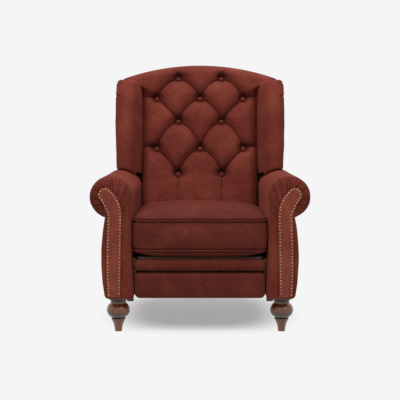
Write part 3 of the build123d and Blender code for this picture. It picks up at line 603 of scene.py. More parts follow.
def panelOutline():
    footIn, neckIn = np.array(panel["footIn"]), np.array(panel["neckIn"])
    shoulder, leaving = arcFrom(neckIn, neckIn - footIn, panel["headTop"])
    brow, leaving = arcFrom(panel["headTop"], leaving, panel["headOut"])
    cheek, leaving = arcFrom(panel["headOut"], leaving, panel["cheek"])
    return spacedOutline(
        [footIn, neckIn],
        np.concatenate([shoulder, brow[1:], cheek[1:], [panel["neckOut"]]]),
        arcThrough(panel["neckOut"], panel["hip"], panel["footOut"]),
        [panel["footOut"], footIn],
    )


def outwardOf(outline):
    # the outward direction at each point of a closed outline that runs clockwise
    ahead = np.roll(outline, -1, axis=0) - np.roll(outline, 1, axis=0)
    outward = joined(-ahead[:, 1], ahead[:, 0])
    return outward / np.linalg.norm(outward, axis=1)[:, None]


def pleatPattern(outline):
    # 0 on the crown of a gather and 1 in the fold between two, along the outline
    first = int(stretches["inner"] * 0.86)
    last = stretches["inner"] + int(stretches["head"] * 0.97)
    part = (np.arange(len(outline)) - first) / (last - first)
    uneven = part + 0.006 * np.sin(part * 41.0) + 0.004 * np.sin(part * 97.0 + 1.0)
    fold = 1 - np.abs(np.sin(uneven * math.pi * arm["pleatCount"])) ** 0.45
    strength = 0.65 + 0.35 * np.sin(part * 57.0 + 2.0)
    inside = np.clip(part / 0.06, 0, 1) * np.clip((1 - part) / 0.05, 0, 1)
    return fold * strength * inside


def buildArm(side):
    outer, inner = armOutline(), panelOutline()
    outward = outwardOf(outer)
    folds = pleatPattern(outer)
    frontY, rearY = chair["frontY"], chair["frontY"] + chair["armLength"]
    frontRound, rearRound = arm["frontRound"], arm["rearRound"]
    place = np.arange(len(outer))
    headPart = smoothStep(place, stretches["inner"] * 0.8, stretches["inner"] * 1.2)
    headPart *= 1 - smoothStep(place, stretches["inner"] + 140, stretches["inner"] + 155)
    squareness = arm["legSquareness"] + (arm["headSquareness"] - arm["legSquareness"]) * headPart
    rings, paintedShades = [], []
    # painted shade in the pleats' folds and round the outer rim of the roll's front, fading back along the
    # arm
    rim = arm["rimShade"] * headPart * np.clip(1 - outward[:, 1], 0, 1)
    # round the front, from under the facing panel to the side
    for turn in np.radians(np.linspace(90, 0, 20)):
        cosine, sine = math.cos(turn), math.sin(turn)
        spread = np.clip(cosine, 0, 1) ** (2 / squareness)
        flat = inner + (outer - inner) * (0.02 + 0.98 * spread)[:, None]
        y = frontY + frontRound * (1 - sine ** (2 / squareness))
        push = arm["pleatDeep"] * (0.25 + 0.75 * sine**0.5) * folds
        flat = flat - outward * (push * cosine)[:, None]
        rings.append(joined(flat[:, 0], y + push * sine, flat[:, 1]))
        paintedShades.append(np.clip(folds * 1.15 + rim * (0.35 + 0.65 * spread**2), 0, 1))
    for y in np.linspace(frontY + frontRound, rearY - rearRound, 84)[1:]:
        fade = math.exp(-(y - frontY - frontRound) / arm["pleatReach"])
        flat = outer - outward * (arm["pleatDeep"] * 0.75 * folds * fade)[:, None]
        rings.append(joined(flat[:, 0], y, flat[:, 1]))
        paintedShades.append(np.clip(folds * fade + rim * fade**2, 0, 1))
    for inset, fall in roundSteps(rearRound, *np.linspace(0, 90, 8)[1:]):
        flat = outer - outward * inset
        rings.append(joined(flat[:, 0], rearY - fall, flat[:, 1]))
        paintedShades.append(np.zeros(len(flat)))
    # slight long wrinkles, held back at the sole and where the panel sits
    for n, ring in enumerate(rings):
        free = smoothStep(n, 4, 20) * smoothStep(ring[:, 2], arm["bottomZ"], arm["bottomZ"] + 0.05)
        waves = softNoise(ring * np.array([1.0, 0.35, 1.0]) + [0, 0, side * 3.0], 0.05, 5.0)
        # the inner face stays smooth beside the back, which slides past it
        beside = smoothStep(ring[:, 0], 0.274, 0.290) + 1 - smoothStep(ring[:, 1], -0.15, -0.05)
        push = arm["wrinkle"] * waves * free * np.clip(beside, 0, 1)
        ring[:, [0, 2]] += outward * push[:, None]
        ring[:, 0] *= side
    piece = ringsToPiece("armCover" + sideNames[side], rings)
    node = "arm_cover_" + sideNames[side].lower()
    upholster(piece, np.concatenate(paintedShades), 75, redChenille, "base", node)


def buildPanel(side):
    outline = panelOutline()
    outward = outwardOf(outline)
    edge, proud, crown = panel["edgeRound"], panel["proud"], panel["crown"]
    steps = [(0.0, -0.004), (0.0, proud - edge)]
    steps += [(inset, proud - fall) for inset, fall in roundSteps(edge, 20, 40, 60, 80, 90)]
    steps += [(edge + 0.004, proud + 0.3 * crown), (edge + 0.009, proud + 0.7 * crown)]
    steps.append((edge + 0.015, proud + crown))
    rings = []
    # the crown's rings stay clear of the square foot
    aboveFoot = smoothStep(outline[:, 1], panel["footIn"][1], panel["footIn"][1] + 0.03)
    for inset, out in steps:
        shift = np.minimum(inset, edge) + np.maximum(inset - edge, 0) * aboveFoot
        flat = outline - outward * shift[:, None]
        rings.append(joined(flat[:, 0] * side, chair["frontY"] - out, flat[:, 1]))
    piece = ringsToPiece("facing" + sideNames[side], rings)
    # painted shade along the facing's edge where it meets the arm; its cloth is the painted-light copy
    paintedShades = np.repeat([0.8] * 2 + [0.0] * (len(steps) - 2), len(outline))
    upholster(piece, paintedShades, 50, paintedLightChenille, "base", "arm_facing_" + sideNames[side].lower())


for side in (-1, 1):
    buildArm(side)
for side in (-1, 1):
    buildPanel(side)
print("arms and facings made")

nail = {"radius": 0.0040, "high": 0.0028, "around": 12, "rings": 4, "sunk": 0.0002}


def nodePlaces(nodeName, tolerance=0.008):
    # the middle of each separate solid in a frame node, by its frontmost points
    points = pointsOf(frame["nodes"][nodeName])
    left = np.unique(np.round(points[points[:, 1] < points[:, 1].min() + 0.0005], 5), axis=0)
    centres = []
    while len(left):
        near = np.linalg.norm(left - left[0], axis=1) < tolerance
        centres.append(left[near].mean(axis=0))
        left = left[~near]
    return centres


def buildNails():
    # a domed head, turned from rings and copied to every place
    angles = np.linspace(0, 2 * math.pi, nail["around"], endpoint=False)
    rings = []
    for turn in np.radians(np.linspace(0, 82, nail["rings"] + 1)):
        radius = nail["radius"] * math.cos(turn)
        lift = nail["high"] * math.sin(turn)
        rings.append(joined(radius * np.cos(angles), -lift, radius * np.sin(angles)))
    seat = chair["frontY"] - panel["proud"] + nail["sunk"]
    centres = nodePlaces("arm_nails")
    piece = addCopies(
        "brassNails", ringsToPiece("nailDome", rings), centres, lambda dome, at: dome + [at[0], seat, at[2]]
    )
    closeAndSmooth(piece, 60)
    print("nails made:", len(centres))
    return piece


nails = buildNails()

cushion = {
    "half": 0.2682, "swell": 0.006, "cornerBow": 0.010, "frontY": -0.423, "rearY": 0.118,
    "rearLowY": 0.088, "corner": 0.034, "base": 0.312, "lowSeam": 0.333, "highSeam": 0.453,
    "crown": 0.494, "lip": 0.306, "weltRadius": 0.0038,
    "waves": ((0.0020, 0.07, 2.0), (0.0007, 0.022, 6.0)),
    "footScales": (0.05, 0.3, 0.6, 0.8, 0.9),  # rings of the underside and the top
    "topScales": (
        0.985, 0.965, 0.94, 0.9, 0.85, 0.8, 0.74, 0.67, 0.6, 0.52, 0.44, 0.36, 0.28, 0.2, 0.12, 0.05,
    ),
}


def roundedOutline(half, frontY, rearY, corner, count=260):
    # runs clockwise seen from above, from the middle of the front edge
    inX, nearY, farY = half - corner, frontY + corner, rearY - corner
    centres = ((-inX, nearY), (-inX, farY), (inX, farY), (inX, nearY))
    corners = [roundOf(centre, corner, -1 - n, -2 - n, 12) for n, centre in enumerate(centres)]
    return spaced(np.concatenate([[(0, frontY)], *corners, [(0, frontY)]]), count)


def seatFree(places):
    # the cushion swells up and forward, and keeps clear of the arms and the back
    upward = smoothStep(places[:, 2], cushion["highSeam"] - 0.02, cushion["highSeam"] + 0.01)
    upward = upward * smoothStep(-places[:, 1], -0.09, 0.02)
    forward = smoothStep(-places[:, 1], -cushion["frontY"] - 0.12, -cushion["frontY"] - 0.04)
    return joined(0.0, forward, upward)


def buildSeatCushion():
    c = cushion
    rings, paintedShades = [], []
    middle = np.array([0.0, (c["frontY"] + c["rearY"]) / 2])

    def addRing(z, inset, paintedShade, scale=1.0, crown=None):
        lean = np.clip((z - c["lowSeam"]) / (c["highSeam"] - c["lowSeam"]), 0, 1)
        rear = c["rearLowY"] + (c["rearY"] - c["rearLowY"]) * lean
        flat = roundedOutline(c["half"] - inset, c["frontY"] + inset, rear - inset, c["corner"])
        flat = middle + (flat - middle) * scale
        rings.append(joined(flat[:, 0], flat[:, 1], crown(flat) if crown else z))
        paintedShades.append(np.full(len(flat), paintedShade))

    def underside(flat):
        # the lip hangs lower along the middle of the front
        front = np.exp(-(((flat[:, 1] - c["frontY"]) / 0.10) ** 2))
        return c["base"] - (c["base"] - c["lip"]) * front * np.clip(1 - (flat[:, 0] / c["half"]) ** 2, 0, 1)

    def topside(flat):
        acrossPart = np.clip(1 - (np.abs(flat[:, 0]) / c["half"]) ** 2.6, 0, 1) ** 0.6
        rise = acrossPart * domed((flat[:, 1] - c["frontY"]) / 0.19) * domed((c["rearY"] - flat[:, 1]) / 0.12)
        return c["highSeam"] + 0.004 + (c["crown"] - c["highSeam"] - 0.004) * rise

    # painted shade on the underside, in the seams beside the welts and a little round the top's rim
    for scale in c["footScales"]:
        addRing(c["base"], 0.014, 0.6, scale, underside)
    addRing(c["base"], 0.010, 0.5, 0.97, underside)
    addRing(c["base"] + 0.004, 0.004, 0.2, 0.992)
    addRing(c["base"] + 0.012, 0.0005, 0.1)
    welt = c["weltRadius"]
    for seam in (c["lowSeam"], c["highSeam"]):
        addRing(seam - 2.2 * welt, 0.0025, 0.35)
        addRing(seam - 1.25 * welt, 0.0048, 1.0)
        for turn in np.radians((-60, -30, 0, 30, 60)):
            addRing(seam + welt * math.sin(turn), 0.0036 - welt * math.cos(turn) * 0.9, 0.0)
        addRing(seam + 1.25 * welt, 0.0048, 1.0)
        addRing(seam + 2.2 * welt, 0.0025, 0.35)
        if seam == c["lowSeam"]:
            for part in np.linspace(0.12, 0.88, 13):
                z = seam + (c["highSeam"] - seam) * part
                addRing(z, 0.0022 - 0.004 * math.sin(math.pi * part), 0.0)
    for scale in c["topScales"]:
        addRing(c["highSeam"], 0.004, 0.05 if scale < 0.98 else 0.3, scale, topside)
    for ring in rings:
        waves = ripples(ring, c["waves"]) * smoothStep(ring[:, 2], c["lowSeam"] - 0.01, c["lowSeam"] + 0.03)
        ring[:, 2] += waves
        ring[:, 1] += 0.5 * waves
        # the underside bows up to the front corners
        bow = smoothStep(-ring[:, 2], -c["lowSeam"], 0.010 - c["lowSeam"])
        bow *= smoothStep(np.abs(ring[:, 0]), 0.16, c["half"] - 0.006) * smoothStep(-ring[:, 1], 0.25, 0.33)
        ring[:, 2] += c["cornerBow"] * bow
    piece = ringsToPiece("seatCushion", rings)
    swell = (c["swell"], seatFree)
    # its cloth is the painted-shade copy
    upholster(piece, np.concatenate(paintedShades), 60, paintedShadeChenille, "seat_unit", "seat_cushion", swell=swell)


buildSeatCushion()
print("seat cushion made")

rest = {
    "half": 0.259, "swell": 0.004, "frontY": -0.423,
    "ottoman": (0.143, 0.247, 0.055),  # lowest, highest and how thick
    "strip": (0.252, 0.298, 0.040), "corner": 0.020, "edge": 0.017,
    "waves": ((0.0014, 0.06, 4.0), (0.0005, 0.018, 9.0)), "cell": 0.0048,
}


def buildRestPad(name, body, node):
    # a wrapped board: a soft rounded front, straight sides and a flat back
    low, high, thick = rest[body]
    half, halfHigh, middle = rest["half"], (high - low) / 2, (low + high) / 2
    columns, rows = int(2 * half / rest["cell"]), max(14, int((high - low) / (rest["cell"] * 0.7)))
    edge = min(rest["edge"], (high - low) * 0.42)

    def eased(count):
        # closer together towards both ends
        even = np.linspace(-1, 1, count)
        return np.sin(even * math.pi / 2) * 0.35 + even * 0.65

    x, z = (grid.ravel() for grid in np.meshgrid(eased(columns + 1), eased(rows + 1)))
    # distances in from the rounded outline
    outX, outZ = np.abs(x) * half, np.abs(z) * halfHigh
    radius = min(rest["corner"], halfHigh * 0.8)
    overX, overZ = np.clip(outX - (half - radius), 0, None), np.clip(outZ - (halfHigh - radius), 0, None)
    reach = np.hypot(overX, overZ)
    pull = np.where(reach > 1e-9, np.maximum(overX, overZ) / np.maximum(reach, 1e-9), 1.0)
    placeX = np.sign(x) * (np.minimum(outX, half - radius) + overX * pull)
    placeZ = np.sign(z) * (np.minimum(outZ, halfHigh - radius) + overZ * pull) + middle
    roundness = domed((1 - np.abs(x)) * half / edge) * domed((1 - np.abs(z)) * halfHigh / edge)
    waves = ripples(joined(placeX, 0.0, placeZ), rest["waves"])
    full = 0.002 * (1 - (np.abs(z)) ** 2) * (1 - np.abs(x) ** 4)
    y = rest["frontY"] + 0.001 + edge * (1 - roundness) - (waves + full) * roundness
    faces, rim = gridFaces(columns, rows)
    backY = rest["frontY"] + thick
    points, near = [joined(placeX, y, placeZ)], rim
    for inset, depth in ((0.0, backY - 0.004), (0.003, backY)):
        shrunkZ = middle + (placeZ[rim] - middle) * (1 - inset / halfHigh)
        points.append(joined(placeX[rim] * (1 - inset / half), depth, shrunkZ))
        count = sum(len(part) for part in points)
        far = range(count - len(rim), count)
        faces += bandFaces(near, far)
        near = far
    piece = addMesh(name, np.concatenate(points), faces + [tuple(near)])
    # painted shade towards the rounded edges and on the back; its cloth is the painted-shade copy
    paintedShades = np.append(np.clip(0.5 - roundness, 0, 1), [0.4] * 2 * len(rim))
    upholster(piece, paintedShades, 60, paintedShadeChenille, body, node, swell=(rest["swell"], onlyForward))


buildRestPad("ottomanPad", "ottoman", "ottoman_pad")
buildRestPad("stripPad", "strip", "strip_pad")
print("footrest pads made")

wing = {
    "root": (0.264, 0.0),  # across and forward of the back's frame
    "innerMiddle": (0.2745, 0.085), "innerFront": (0.298, 0.172), "nose": (0.340, 0.206),
    "outerFront": (0.380, 0.168), "outerMiddle": (0.3815, 0.080), "outerRear": (0.374, 0.0),
    "rearGap": 0.0165,  # over the arm's roll, which the back swings over
    "innerGap": 0.0075,  # more of it where the roll falls away inwards
    "noseGap": 0.0034, "underShares": (0.04, 0.2, 0.4, 0.6, 0.8), "lowestRoll": 0.578,
    "taper": 0.0085,  # the outer face draws in downwards
    "topUp": 0.750,
    "topSlope": 0.16,  # the top falls this much per forward
    "topRound": 0.024, "lowRound": 0.014, "full": 0.004,
    "noseLean": 0.036,  # the nose draws back over the top
    "pleatHeights": (1.020, 0.958), "pleatDeep": 0.0045, "pleatHalf": 0.0035,
}


def rollTopAt(across):
    # the height of the arm's roll, level past its sides
    beside = np.clip(across - arm["rollCentre"][0], -arm["rollRadius"], arm["rollRadius"])
    return arm["rollCentre"][1] + np.sqrt(arm["rollRadius"] ** 2 - beside**2)


def overArm(across, forward):
    # the height that keeps a wing clear of the arm's roll, close at the nose and wide at the rear,
    # where the wing swings back over the roll
    rollTop = rollTopAt(across)
    rearGap = wing["rearGap"] + wing["innerGap"] * smoothStep(-rollTop, -0.628, -0.585)
    gap = rearGap - (rearGap - wing["noseGap"]) * smoothStep(forward, 0.110, 0.145)
    return np.maximum(rollTop, wing["lowestRoll"]) + gap


def buildWing(side):
    w = wing
    inner = arcThrough(w["root"], w["innerMiddle"], w["innerFront"])
    nose = arcThrough(w["innerFront"], w["nose"], w["outerFront"])
    outer = arcThrough(w["outerFront"], w["outerMiddle"], w["outerRear"])
    rear = spaced([w["outerRear"], w["root"]], 12)
    outline = np.concatenate([spaced(inner, 44), spaced(nose, 44), spaced(outer, 44), rear])
    outward = outwardOf(outline)
    across, forward = outline.T
    low = upAtHeight(overArm(across, forward), forward)
    high = w["topUp"] - w["topSlope"] * forward
    foot, brow = low + w["lowRound"], high - w["topRound"]
    # each level's height, and how far it is drawn in
    levels = [(low + rise, inset) for rise, inset in roundSteps(w["lowRound"], *np.linspace(0, 90, 7))]
    levels += [(foot + (brow - foot) * part, 0.0) for part in np.linspace(0, 1, 78)[1:-1]]
    levels += [(high - fall, inset) for inset, fall in roundSteps(w["topRound"], *np.linspace(0, 90, 9))]
    rings, paintedShades = [], []
    for up, inset in levels:
        part = (up - low) / (high - low)
        push = inset - w["full"] * np.sin(np.pi * np.clip(part, 0, 1))
        x = across - outward[:, 0] * push - w["taper"] * (1 - part) * smoothStep(across, 0.330, 0.372)
        t = forward - outward[:, 1] * push
        t = t - w["noseLean"] * smoothStep(part, 0.72, 1.0) ** 1.5 * (forward / w["nose"][1])
        ring = onBack(x, up, t)
        # two short gathers pull in the outer edge of the nose
        gather = np.zeros(len(ring))
        for height in w["pleatHeights"]:
            nearby = np.exp(-(((ring[:, 2] - height) / w["pleatHalf"]) ** 2))
            gather = np.maximum(gather, nearby * smoothStep(x, 0.340, 0.372) * smoothStep(t, 0.07, 0.13))
        waves = ripples(ring, ((0.0016, 0.055, 7.0 + side), (0.0005, 0.016, 1.0)))
        back = gather * w["pleatDeep"] - waves * smoothStep(forward, 0.0, 0.03)
        x = x - outward[:, 0] * back
        t = t - outward[:, 1] * back
        if not rings:
            # the underside is hollowed to follow the roll
            for share in w["underShares"]:
                underX, underT = (line.mean() + (line - line.mean()) * share for line in (x, t))
                rings.append(onBack(underX, upAtHeight(overArm(underX, underT), underT), underT))
                paintedShades.append(np.zeros(len(x)))
        rings.append(onBack(x, np.maximum(up, upAtHeight(overArm(x, t), t)), t))
        # painted shade in the gathers and at the inner rear, where the wing meets the back
        paintedShades.append(np.clip(gather, 0, 1) + 0.6 * (1 - smoothStep(forward, 0.03, 0.09)) * (across < 0.3))
    for ring in rings:
        ring[:, 0] *= side
    piece = ringsToPiece("wing" + sideNames[side], rings)
    paintedShades = np.clip(np.concatenate(paintedShades), 0, 1)
    upholster(piece, paintedShades, 70, redChenille, "back", "wing_" + sideNames[side].lower())


for side in (-1, 1):
    buildWing(side)
print("wings made")

shell = {
    "half": 0.374, "top": 0.836, "drop": 0.070, "thick": 0.059, "corner": 0.020,
    "frontRound": 0.012, "rearRound": 0.015, "puff": 0.004, "waves": ((0.0015, 0.13, 3.0),),
    "skirtBevel": 0.003,
}


def shellOutline(forward, inset, scale=1.0):
    # the outside back's arch, shoulders and foot, drawn in and scaled
    corner, half = shell["corner"], shell["half"] - inset
    radius = (shell["half"] ** 2 + shell["drop"] ** 2) / (2 * shell["drop"])
    low = upAtHeight(chair["shoulderZ"], forward) + inset
    x = np.linspace(-half, half, 81)
    fall = np.clip((np.abs(x) - half + corner) / corner, 0, 1)
    top = shell["top"] - inset - radius + np.sqrt(radius**2 - x**2) - corner * (1 - np.sqrt(1 - fall**2))
    line = np.concatenate([[(-half, low)], joined(x, top), [(half, low)]])
    line = np.concatenate([spaced(line, 190), spaced([(half, low), (-half, low)], 60)])
    middle = np.array([0, (shell["top"] + low) / 2])
    return middle + (line - middle) * scale


def buildOutsideBack():
    thick, rear = shell["thick"], shell["rearRound"]
    rounded = roundSteps(shell["frontRound"], *np.linspace(90, 0, 6))
    steps = [(0.001 - fall, inset) for inset, fall in rounded]
    steps += [(forward, 0.0) for forward in np.linspace(-0.020, rear - thick, 5)]
    steps += [(fall - thick, inset) for inset, fall in roundSteps(rear, *np.linspace(0, 90, 7)[1:])]
    rings = [onBack(*shellOutline(forward, inset).T, forward) for forward, inset in steps]
    scales = np.linspace(0.985, 0.04, 26)
    for scale in scales:
        x, up = shellOutline(-thick, rear, scale).T
        waves = ripples(joined(x, up, 0.0), shell["waves"])
        rings.append(onBack(x, up, -thick - shell["puff"] * (1 - scale**2) - waves * (1 - scale)))
    piece = ringsToPiece("outsideBack", rings)
    # a little painted shade on the rounded rim
    paintedShades = np.repeat([0.05] * len(steps) + [0.0] * len(scales), len(rings[0]))
    upholster(piece, paintedShades, 60, redChenille, "back", "outside_back")


def buildSkirt():
    piece = bpy.data.objects.new("outsideBackSkirt", frame["nodes"]["outside_back_skirt"].data.copy())
    bpy.context.collection.objects.link(piece)
    selectOnly(piece)
    bpy.ops.object.mode_set(mode="EDIT")
    bpy.ops.mesh.select_all(action="SELECT")
    bpy.ops.mesh.remove_doubles(threshold=0.00005)
    bpy.ops.mesh.dissolve_limited(angle_limit=math.radians(2))
    bpy.ops.object.mode_set(mode="OBJECT")
    rounding = piece.modifiers.new("rounding", "BEVEL")
    rounding.width = shell["skirtBevel"]
    rounding.segments = 3
    rounding.limit_method = "ANGLE"
    bpy.ops.object.modifier_apply(modifier="rounding")
    # a little painted shade all over
    paintShade(piece, np.full(len(piece.data.vertices), 0.1))
    bpy.ops.object.shade_smooth_by_angle(angle=math.radians(50))
    dress(piece, redChenille, "back", ["outside_back_skirt"])


flap = {
    "innerX": 0.2545, "outerX": 0.3715, "topZ": 0.668, "front": -0.028, "rearGap": 0.0022,
    "gapRise": 0.27, "behindArm": 0.2925, "drop": 0.022,
}


def buildCornerFlap(side):
    # the lower corner of the outside back, cut to the arm's roll
    x = np.linspace(flap["innerX"], flap["outerX"], 40)
    rings = []
    for n, forward in enumerate(np.linspace(0.0005 - shell["thick"], flap["front"], 9)):
        gap = flap["rearGap"] + (forward + shell["thick"]) * flap["gapRise"]
        low = rollTopAt(x) + gap + (0.002 if n in (0, 8) else 0.0)
        # where it is behind the arm's rear end it hangs lower
        behind = (flap["behindArm"] - onBack(0.0, 0.0, forward)[1]) * rakeCos / rakeSin
        clearOfArm = chair["backBase"][1] + behind + forward * rakeSin
        lower = np.maximum(low - flap["drop"] * smoothStep(-x, -0.335, -0.310), clearOfArm)
        line = np.append(np.minimum(low, lower), [flap["topZ"]] * 2)
        rings.append(onBack(side * np.append(x, [x[-1], x[0]]), upAtHeight(line, forward), forward))
    piece = ringsToPiece("cornerFlap" + sideNames[side], rings)
    # painted shade all over the flap
    upholster(piece, np.full(len(piece.data.vertices), 0.15), 50, redChenille, "back")


for side in (-1, 1):
    buildCornerFlap(side)
buildOutsideBack()
buildSkirt()
print("outside of the back made")


grain = {
    "fine": (4.0, 0.6, 0.4),  # detail, roughness and distortion
    "broad": (14.0, 2.0, 0.5),  # size, detail and roughness
    "fineMask": (0.38, 3.2), "broadMask": (0.4, 3.0),
    "roughSpan": 0.2, "bumpStrength": 0.4, "coatRoughness": 0.18,
}


def buildGrainGroup():
    # long grain along one axis with broad growth bands
    group, given, result = newGroup(
        "woodGrain",
        {"Light Wood": "Color", "Dark Wood": "Color", "Along": "Vector", "Fineness": "Float"},
        {"Color": "Color", "Mask": "Float", "Height": "Float"},
    )
    vector = objectPlace(group, given["Along"])
    fine = noiseAt(group, vector, given["Fineness"], *grain["fine"])
    fineMask = maskOver(group, fine, *grain["fineMask"])
    broadMask = maskOver(group, noiseAt(group, vector, *grain["broad"]), *grain["broadMask"])
    mask = doMath(group, "MULTIPLY", doMath(group, "ADD", fineMask, broadMask), 0.5, True)
    colour = mixColour(group, mask, given["Light Wood"], given["Dark Wood"])
    give(result, {"Color": colour, "Mask": mask, "Height": fine})
    return group


grainGroup = buildGrainGroup()


def makeWood(name, light, dark, along, fineness, roughLow, bumpDepth, coat):
    material, tree, shader = newMaterial(name)
    values = {"Light Wood": light, "Dark Wood": dark, "Along": along, "Fineness": fineness}
    figure = addNode(tree, "Group", values, node_tree=grainGroup).outputs
    give(shader, {
        "Base Color": figure["Color"],
        "Roughness": scaled(tree, figure["Mask"], grain["roughSpan"], roughLow),
        "Normal": bumpOf(tree, figure["Height"], grain["bumpStrength"], bumpDepth),
        "Coat Weight": coat,
        "Coat Roughness": grain["coatRoughness"],
    })
    return material


upright, lengthwise = (1, 1, 0.12), (0.15, 1, 1)
darkStain = makeWood(
    "darkStain", (0.10, 0.035, 0.012, 1), (0.020, 0.008, 0.004, 1), upright, 70.0, 0.30, 0.0006, 0.2
)
turnedStain = makeWood(
    "turnedStain", (0.34, 0.090, 0.012, 1), (0.050, 0.014, 0.005, 1), upright, 60.0, 0.20, 0.0006, 0.5
)

footShade = {
    "high": 0.146,
    # share of the foot's height and how much of the stain's colour shows: painted highlight on the swells,
    # painted shade in the rings and under the collar
    "stops": (
        (0.0, 0.85), (0.20, 0.65), (0.42, 0.22), (0.48, 0.08), (0.54, 0.35),
        (0.66, 1.0), (0.78, 0.55), (0.86, 0.12), (1.0, 0.08),
    ),
    "deep": (0.012, 0.005, 0.003, 1),
}


def shadeByHeight(material, high, stops):
    # painted shade in the turned rings and under the collar, painted highlight on the swells, set by height
    tree = material.node_tree
    shader = tree.nodes["Principled BSDF"]
    stained = shader.inputs["Base Color"].links[0].from_socket
    height = addNode(tree, "SeparateXYZ", {0: objectPlace(tree)}).outputs["Z"]
    ramp = addNode(tree, "ValToRGB", {0: doMath(tree, "DIVIDE", height, high, True)})
    colours = ramp.color_ramp.elements
    for n, (share, bright) in enumerate(stops):
        stop = colours[n] if n < 2 else colours.new(share)
        stop.position = share
        stop.color = (bright, bright, bright, 1)
    give(shader, {"Base Color": mixColour(tree, ramp.outputs["Color"], footShade["deep"], stained)})


shadeByHeight(turnedStain, footShade["high"], footShade["stops"])
sawnPine = makeWood(
    "sawnPine", (0.62, 0.45, 0.27, 1), (0.42, 0.26, 0.13, 1), lengthwise, 110.0, 0.6, 0.0009, 0.0
)


def makePatchy(name, colourA, colourB, size, metallic, roughLow, roughSpan, bumpDepth):
    # two tones that run into each other, with roughness and bump to match
    material, tree, shader = newMaterial(name)
    patches = noiseAt(tree, objectPlace(tree), size, 4.0, 0.6)
    mask = maskOver(tree, patches, 0.4, 4.0)
    give(shader, {
        "Base Color": mixColour(tree, mask, colourA, colourB),
        "Roughness": scaled(tree, mask, roughSpan, roughLow),
        "Normal": bumpOf(tree, patches, 0.3, bumpDepth),
        "Metallic": metallic,
    })
    return material


# the numbers are the patches' size, metal, lowest roughness, its span and the bump's depth
agedBrass = makePatchy(
    "agedBrass", (0.42, 0.27, 0.12, 1), (0.16, 0.09, 0.04, 1), 260.0, 1.0, 0.3, 0.25, 0.0003
)
blackSteel = makePatchy(
    "blackSteel", (0.022, 0.022, 0.024, 1), (0.045, 0.044, 0.043, 1), 60.0, 0.4, 0.38, 0.2, 0.0002
)
deckCloth = makePatchy(
    "deckCloth", (0.05, 0.022, 0.02, 1), (0.085, 0.04, 0.034, 1), 420.0, 0.0, 0.85, 0.1, 0.0004
)


def makeWebbing():
    material, tree, shader = newMaterial("jute")
    values = {"Vector": objectPlace(tree), "Scale": 190.0, "Distortion": 1.5, "Detail": 1.0}
    weave = addNode(tree, "TexWave", values, bands_direction="X").outputs["Fac"]
    give(shader, {
        "Base Color": mixColour(tree, weave, (0.06, 0.05, 0.042, 1), (0.17, 0.15, 0.12, 1)),
        "Roughness": scaled(tree, weave, 0.1, 0.8),
        "Normal": bumpOf(tree, weave, 0.6, 0.0008),
    })
    return material


dress(nails, agedBrass, "base", ["arm_nails"])
finishes = {
    "frame_timber": sawnPine,
    "dark_wood": darkStain,
    "brass_nails": agedBrass,
    "webbing": makeWebbing(),
    "deck_cloth": deckCloth,
    "mechanism_steel": blackSteel,
    "fabric": redChenille,
}
for subpart in frame["record"]["subparts"]:
    slots = frame["nodes"][subpart["node"]].data.materials
    finish = turnedStain if subpart["node"] == "front_feet" else finishes[subpart["material_slot"]]
    if not slots:
        slots.append(finish)
    for place in range(len(slots)):
        slots[place] = finish
print("finishes given")

studio = {
    "floor": (0.74, 0.74, 0.74, 1), "floorRoughness": 0.9, "floorSize": 30,
    "background": (0.913, 0.913, 0.913, 1), "eye": (0.0, -3.925, 0.828), "tilt": 4.78, "lens": 80.8,
    "sky": 0.34,
    "shadowHalf": (0.41, 0.46),  # the rounded square of floor that shows its shadow
    "shadowSquare": 3.0, "shadowBack": 0.05, "shadowNear": 0.55, "shadowFar": 1.12,
    "shadowShare": 0.64,
    "lamps": (  # name, place, target, size and watts
        ("keyLamp", (-0.8, -1.7, 3.2), (0, 0, 0.5), 1.4, 54.0),
        ("fillLamp", (1.8, -2.2, 2.8), (0, 0, 0.5), 1.6, 18.0),
        ("topLamp", (0.1, 0.0, 3.0), (0, 0, 0.6), 1.5, 24.0),
    ),
}


def seenDirectly(tree):
    # 1 for what the camera, a mirror or glass shows, and 0 for light that falls elsewhere
    path = addNode(tree, "LightPath").outputs
    seen = doMath(tree, "MAXIMUM", path["Is Camera Ray"], path["Is Glossy Ray"])
    return doMath(tree, "MAXIMUM", seen, path["Is Transmission Ray"])


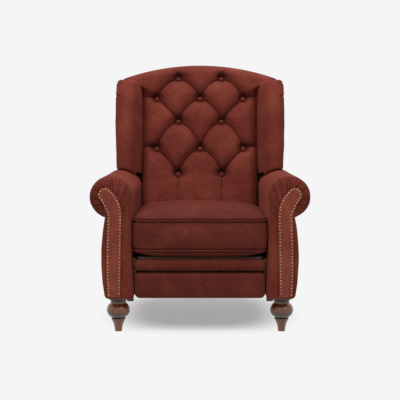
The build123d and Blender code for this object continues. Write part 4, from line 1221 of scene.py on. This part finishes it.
def buildFloor():
    bpy.ops.mesh.primitive_plane_add(size=studio["floorSize"], location=(0, 0, 0))
    floor = bpy.context.object
    floor.name = "studioFloor"
    material, tree, shader = newMaterial("palePaper")
    give(shader, {"Base Color": studio["floor"], "Roughness": studio["floorRoughness"]})
    # far from the chair the camera sees the plain background, near it the shaded floor
    wide, deep = studio["shadowHalf"]
    square = studio["shadowSquare"]
    oval = objectPlace(tree, (1 / wide, 1 / deep, 1), (0, -studio["shadowBack"] / deep, 0))
    split = addNode(tree, "SeparateXYZ", {0: oval}).outputs
    across, along = (doMath(tree, "POWER", doMath(tree, "ABSOLUTE", split[n]), square) for n in (0, 1))
    away = doMath(tree, "POWER", doMath(tree, "ADD", across, along), 1 / square)
    values = {
        "Value": away,
        "From Min": studio["shadowNear"],
        "From Max": studio["shadowFar"],
        "To Min": 1 - studio["shadowShare"],
        "To Max": 1.0,
    }
    fade = addNode(tree, "MapRange", values, interpolation_type="SMOOTHSTEP").outputs["Result"]
    glow = addNode(tree, "Emission", {"Color": studio["background"], "Strength": 1.0})
    shown = doMath(tree, "MULTIPLY", fade, seenDirectly(tree))
    mix = addNode(tree, "MixShader", {0: shown, 1: shader.outputs[0], 2: glow.outputs[0]})
    give(tree.nodes["Material Output"], {"Surface": mix.outputs[0]})
    floor.data.materials.append(material)


def buildWorld():
    world = bpy.data.worlds.new("studioWorld")
    bpy.context.scene.world = world
    world.use_nodes = True
    tree = world.node_tree
    tree.nodes.clear()
    lit = addNode(tree, "Background", {"Color": (1, 1, 1, 1), "Strength": studio["sky"]})
    seen = addNode(tree, "Background", {"Color": studio["background"], "Strength": 1.0})
    values = {0: seenDirectly(tree), 1: lit.outputs[0], 2: seen.outputs[0]}
    mix = addNode(tree, "MixShader", values)
    addNode(tree, "OutputWorld", {0: mix.outputs[0]})


def addLamp(name, place, target, size, power):
    lamp = bpy.data.lights.new(name, "AREA")
    lamp.shape = "SQUARE"
    lamp.size = size
    lamp.energy = power
    holder = bpy.data.objects.new(name, lamp)
    holder.location = place
    holder.rotation_euler = (Vector(target) - Vector(place)).to_track_quat("-Z", "Y").to_euler()
    bpy.context.collection.objects.link(holder)


buildFloor()
buildWorld()
for lampValues in studio["lamps"]:
    addLamp(*lampValues)
cameraData = bpy.data.cameras.new("camera")
cameraData.lens = studio["lens"]
cameraData.sensor_width = 36.0
camera = bpy.data.objects.new("camera", cameraData)
camera.location = studio["eye"]
camera.rotation_euler = (math.radians(90 - studio["tilt"]), 0, 0)
bpy.context.collection.objects.link(camera)
bpy.context.scene.camera = camera
bpy.context.scene.view_settings.view_transform = "Standard"

print("scene ready")
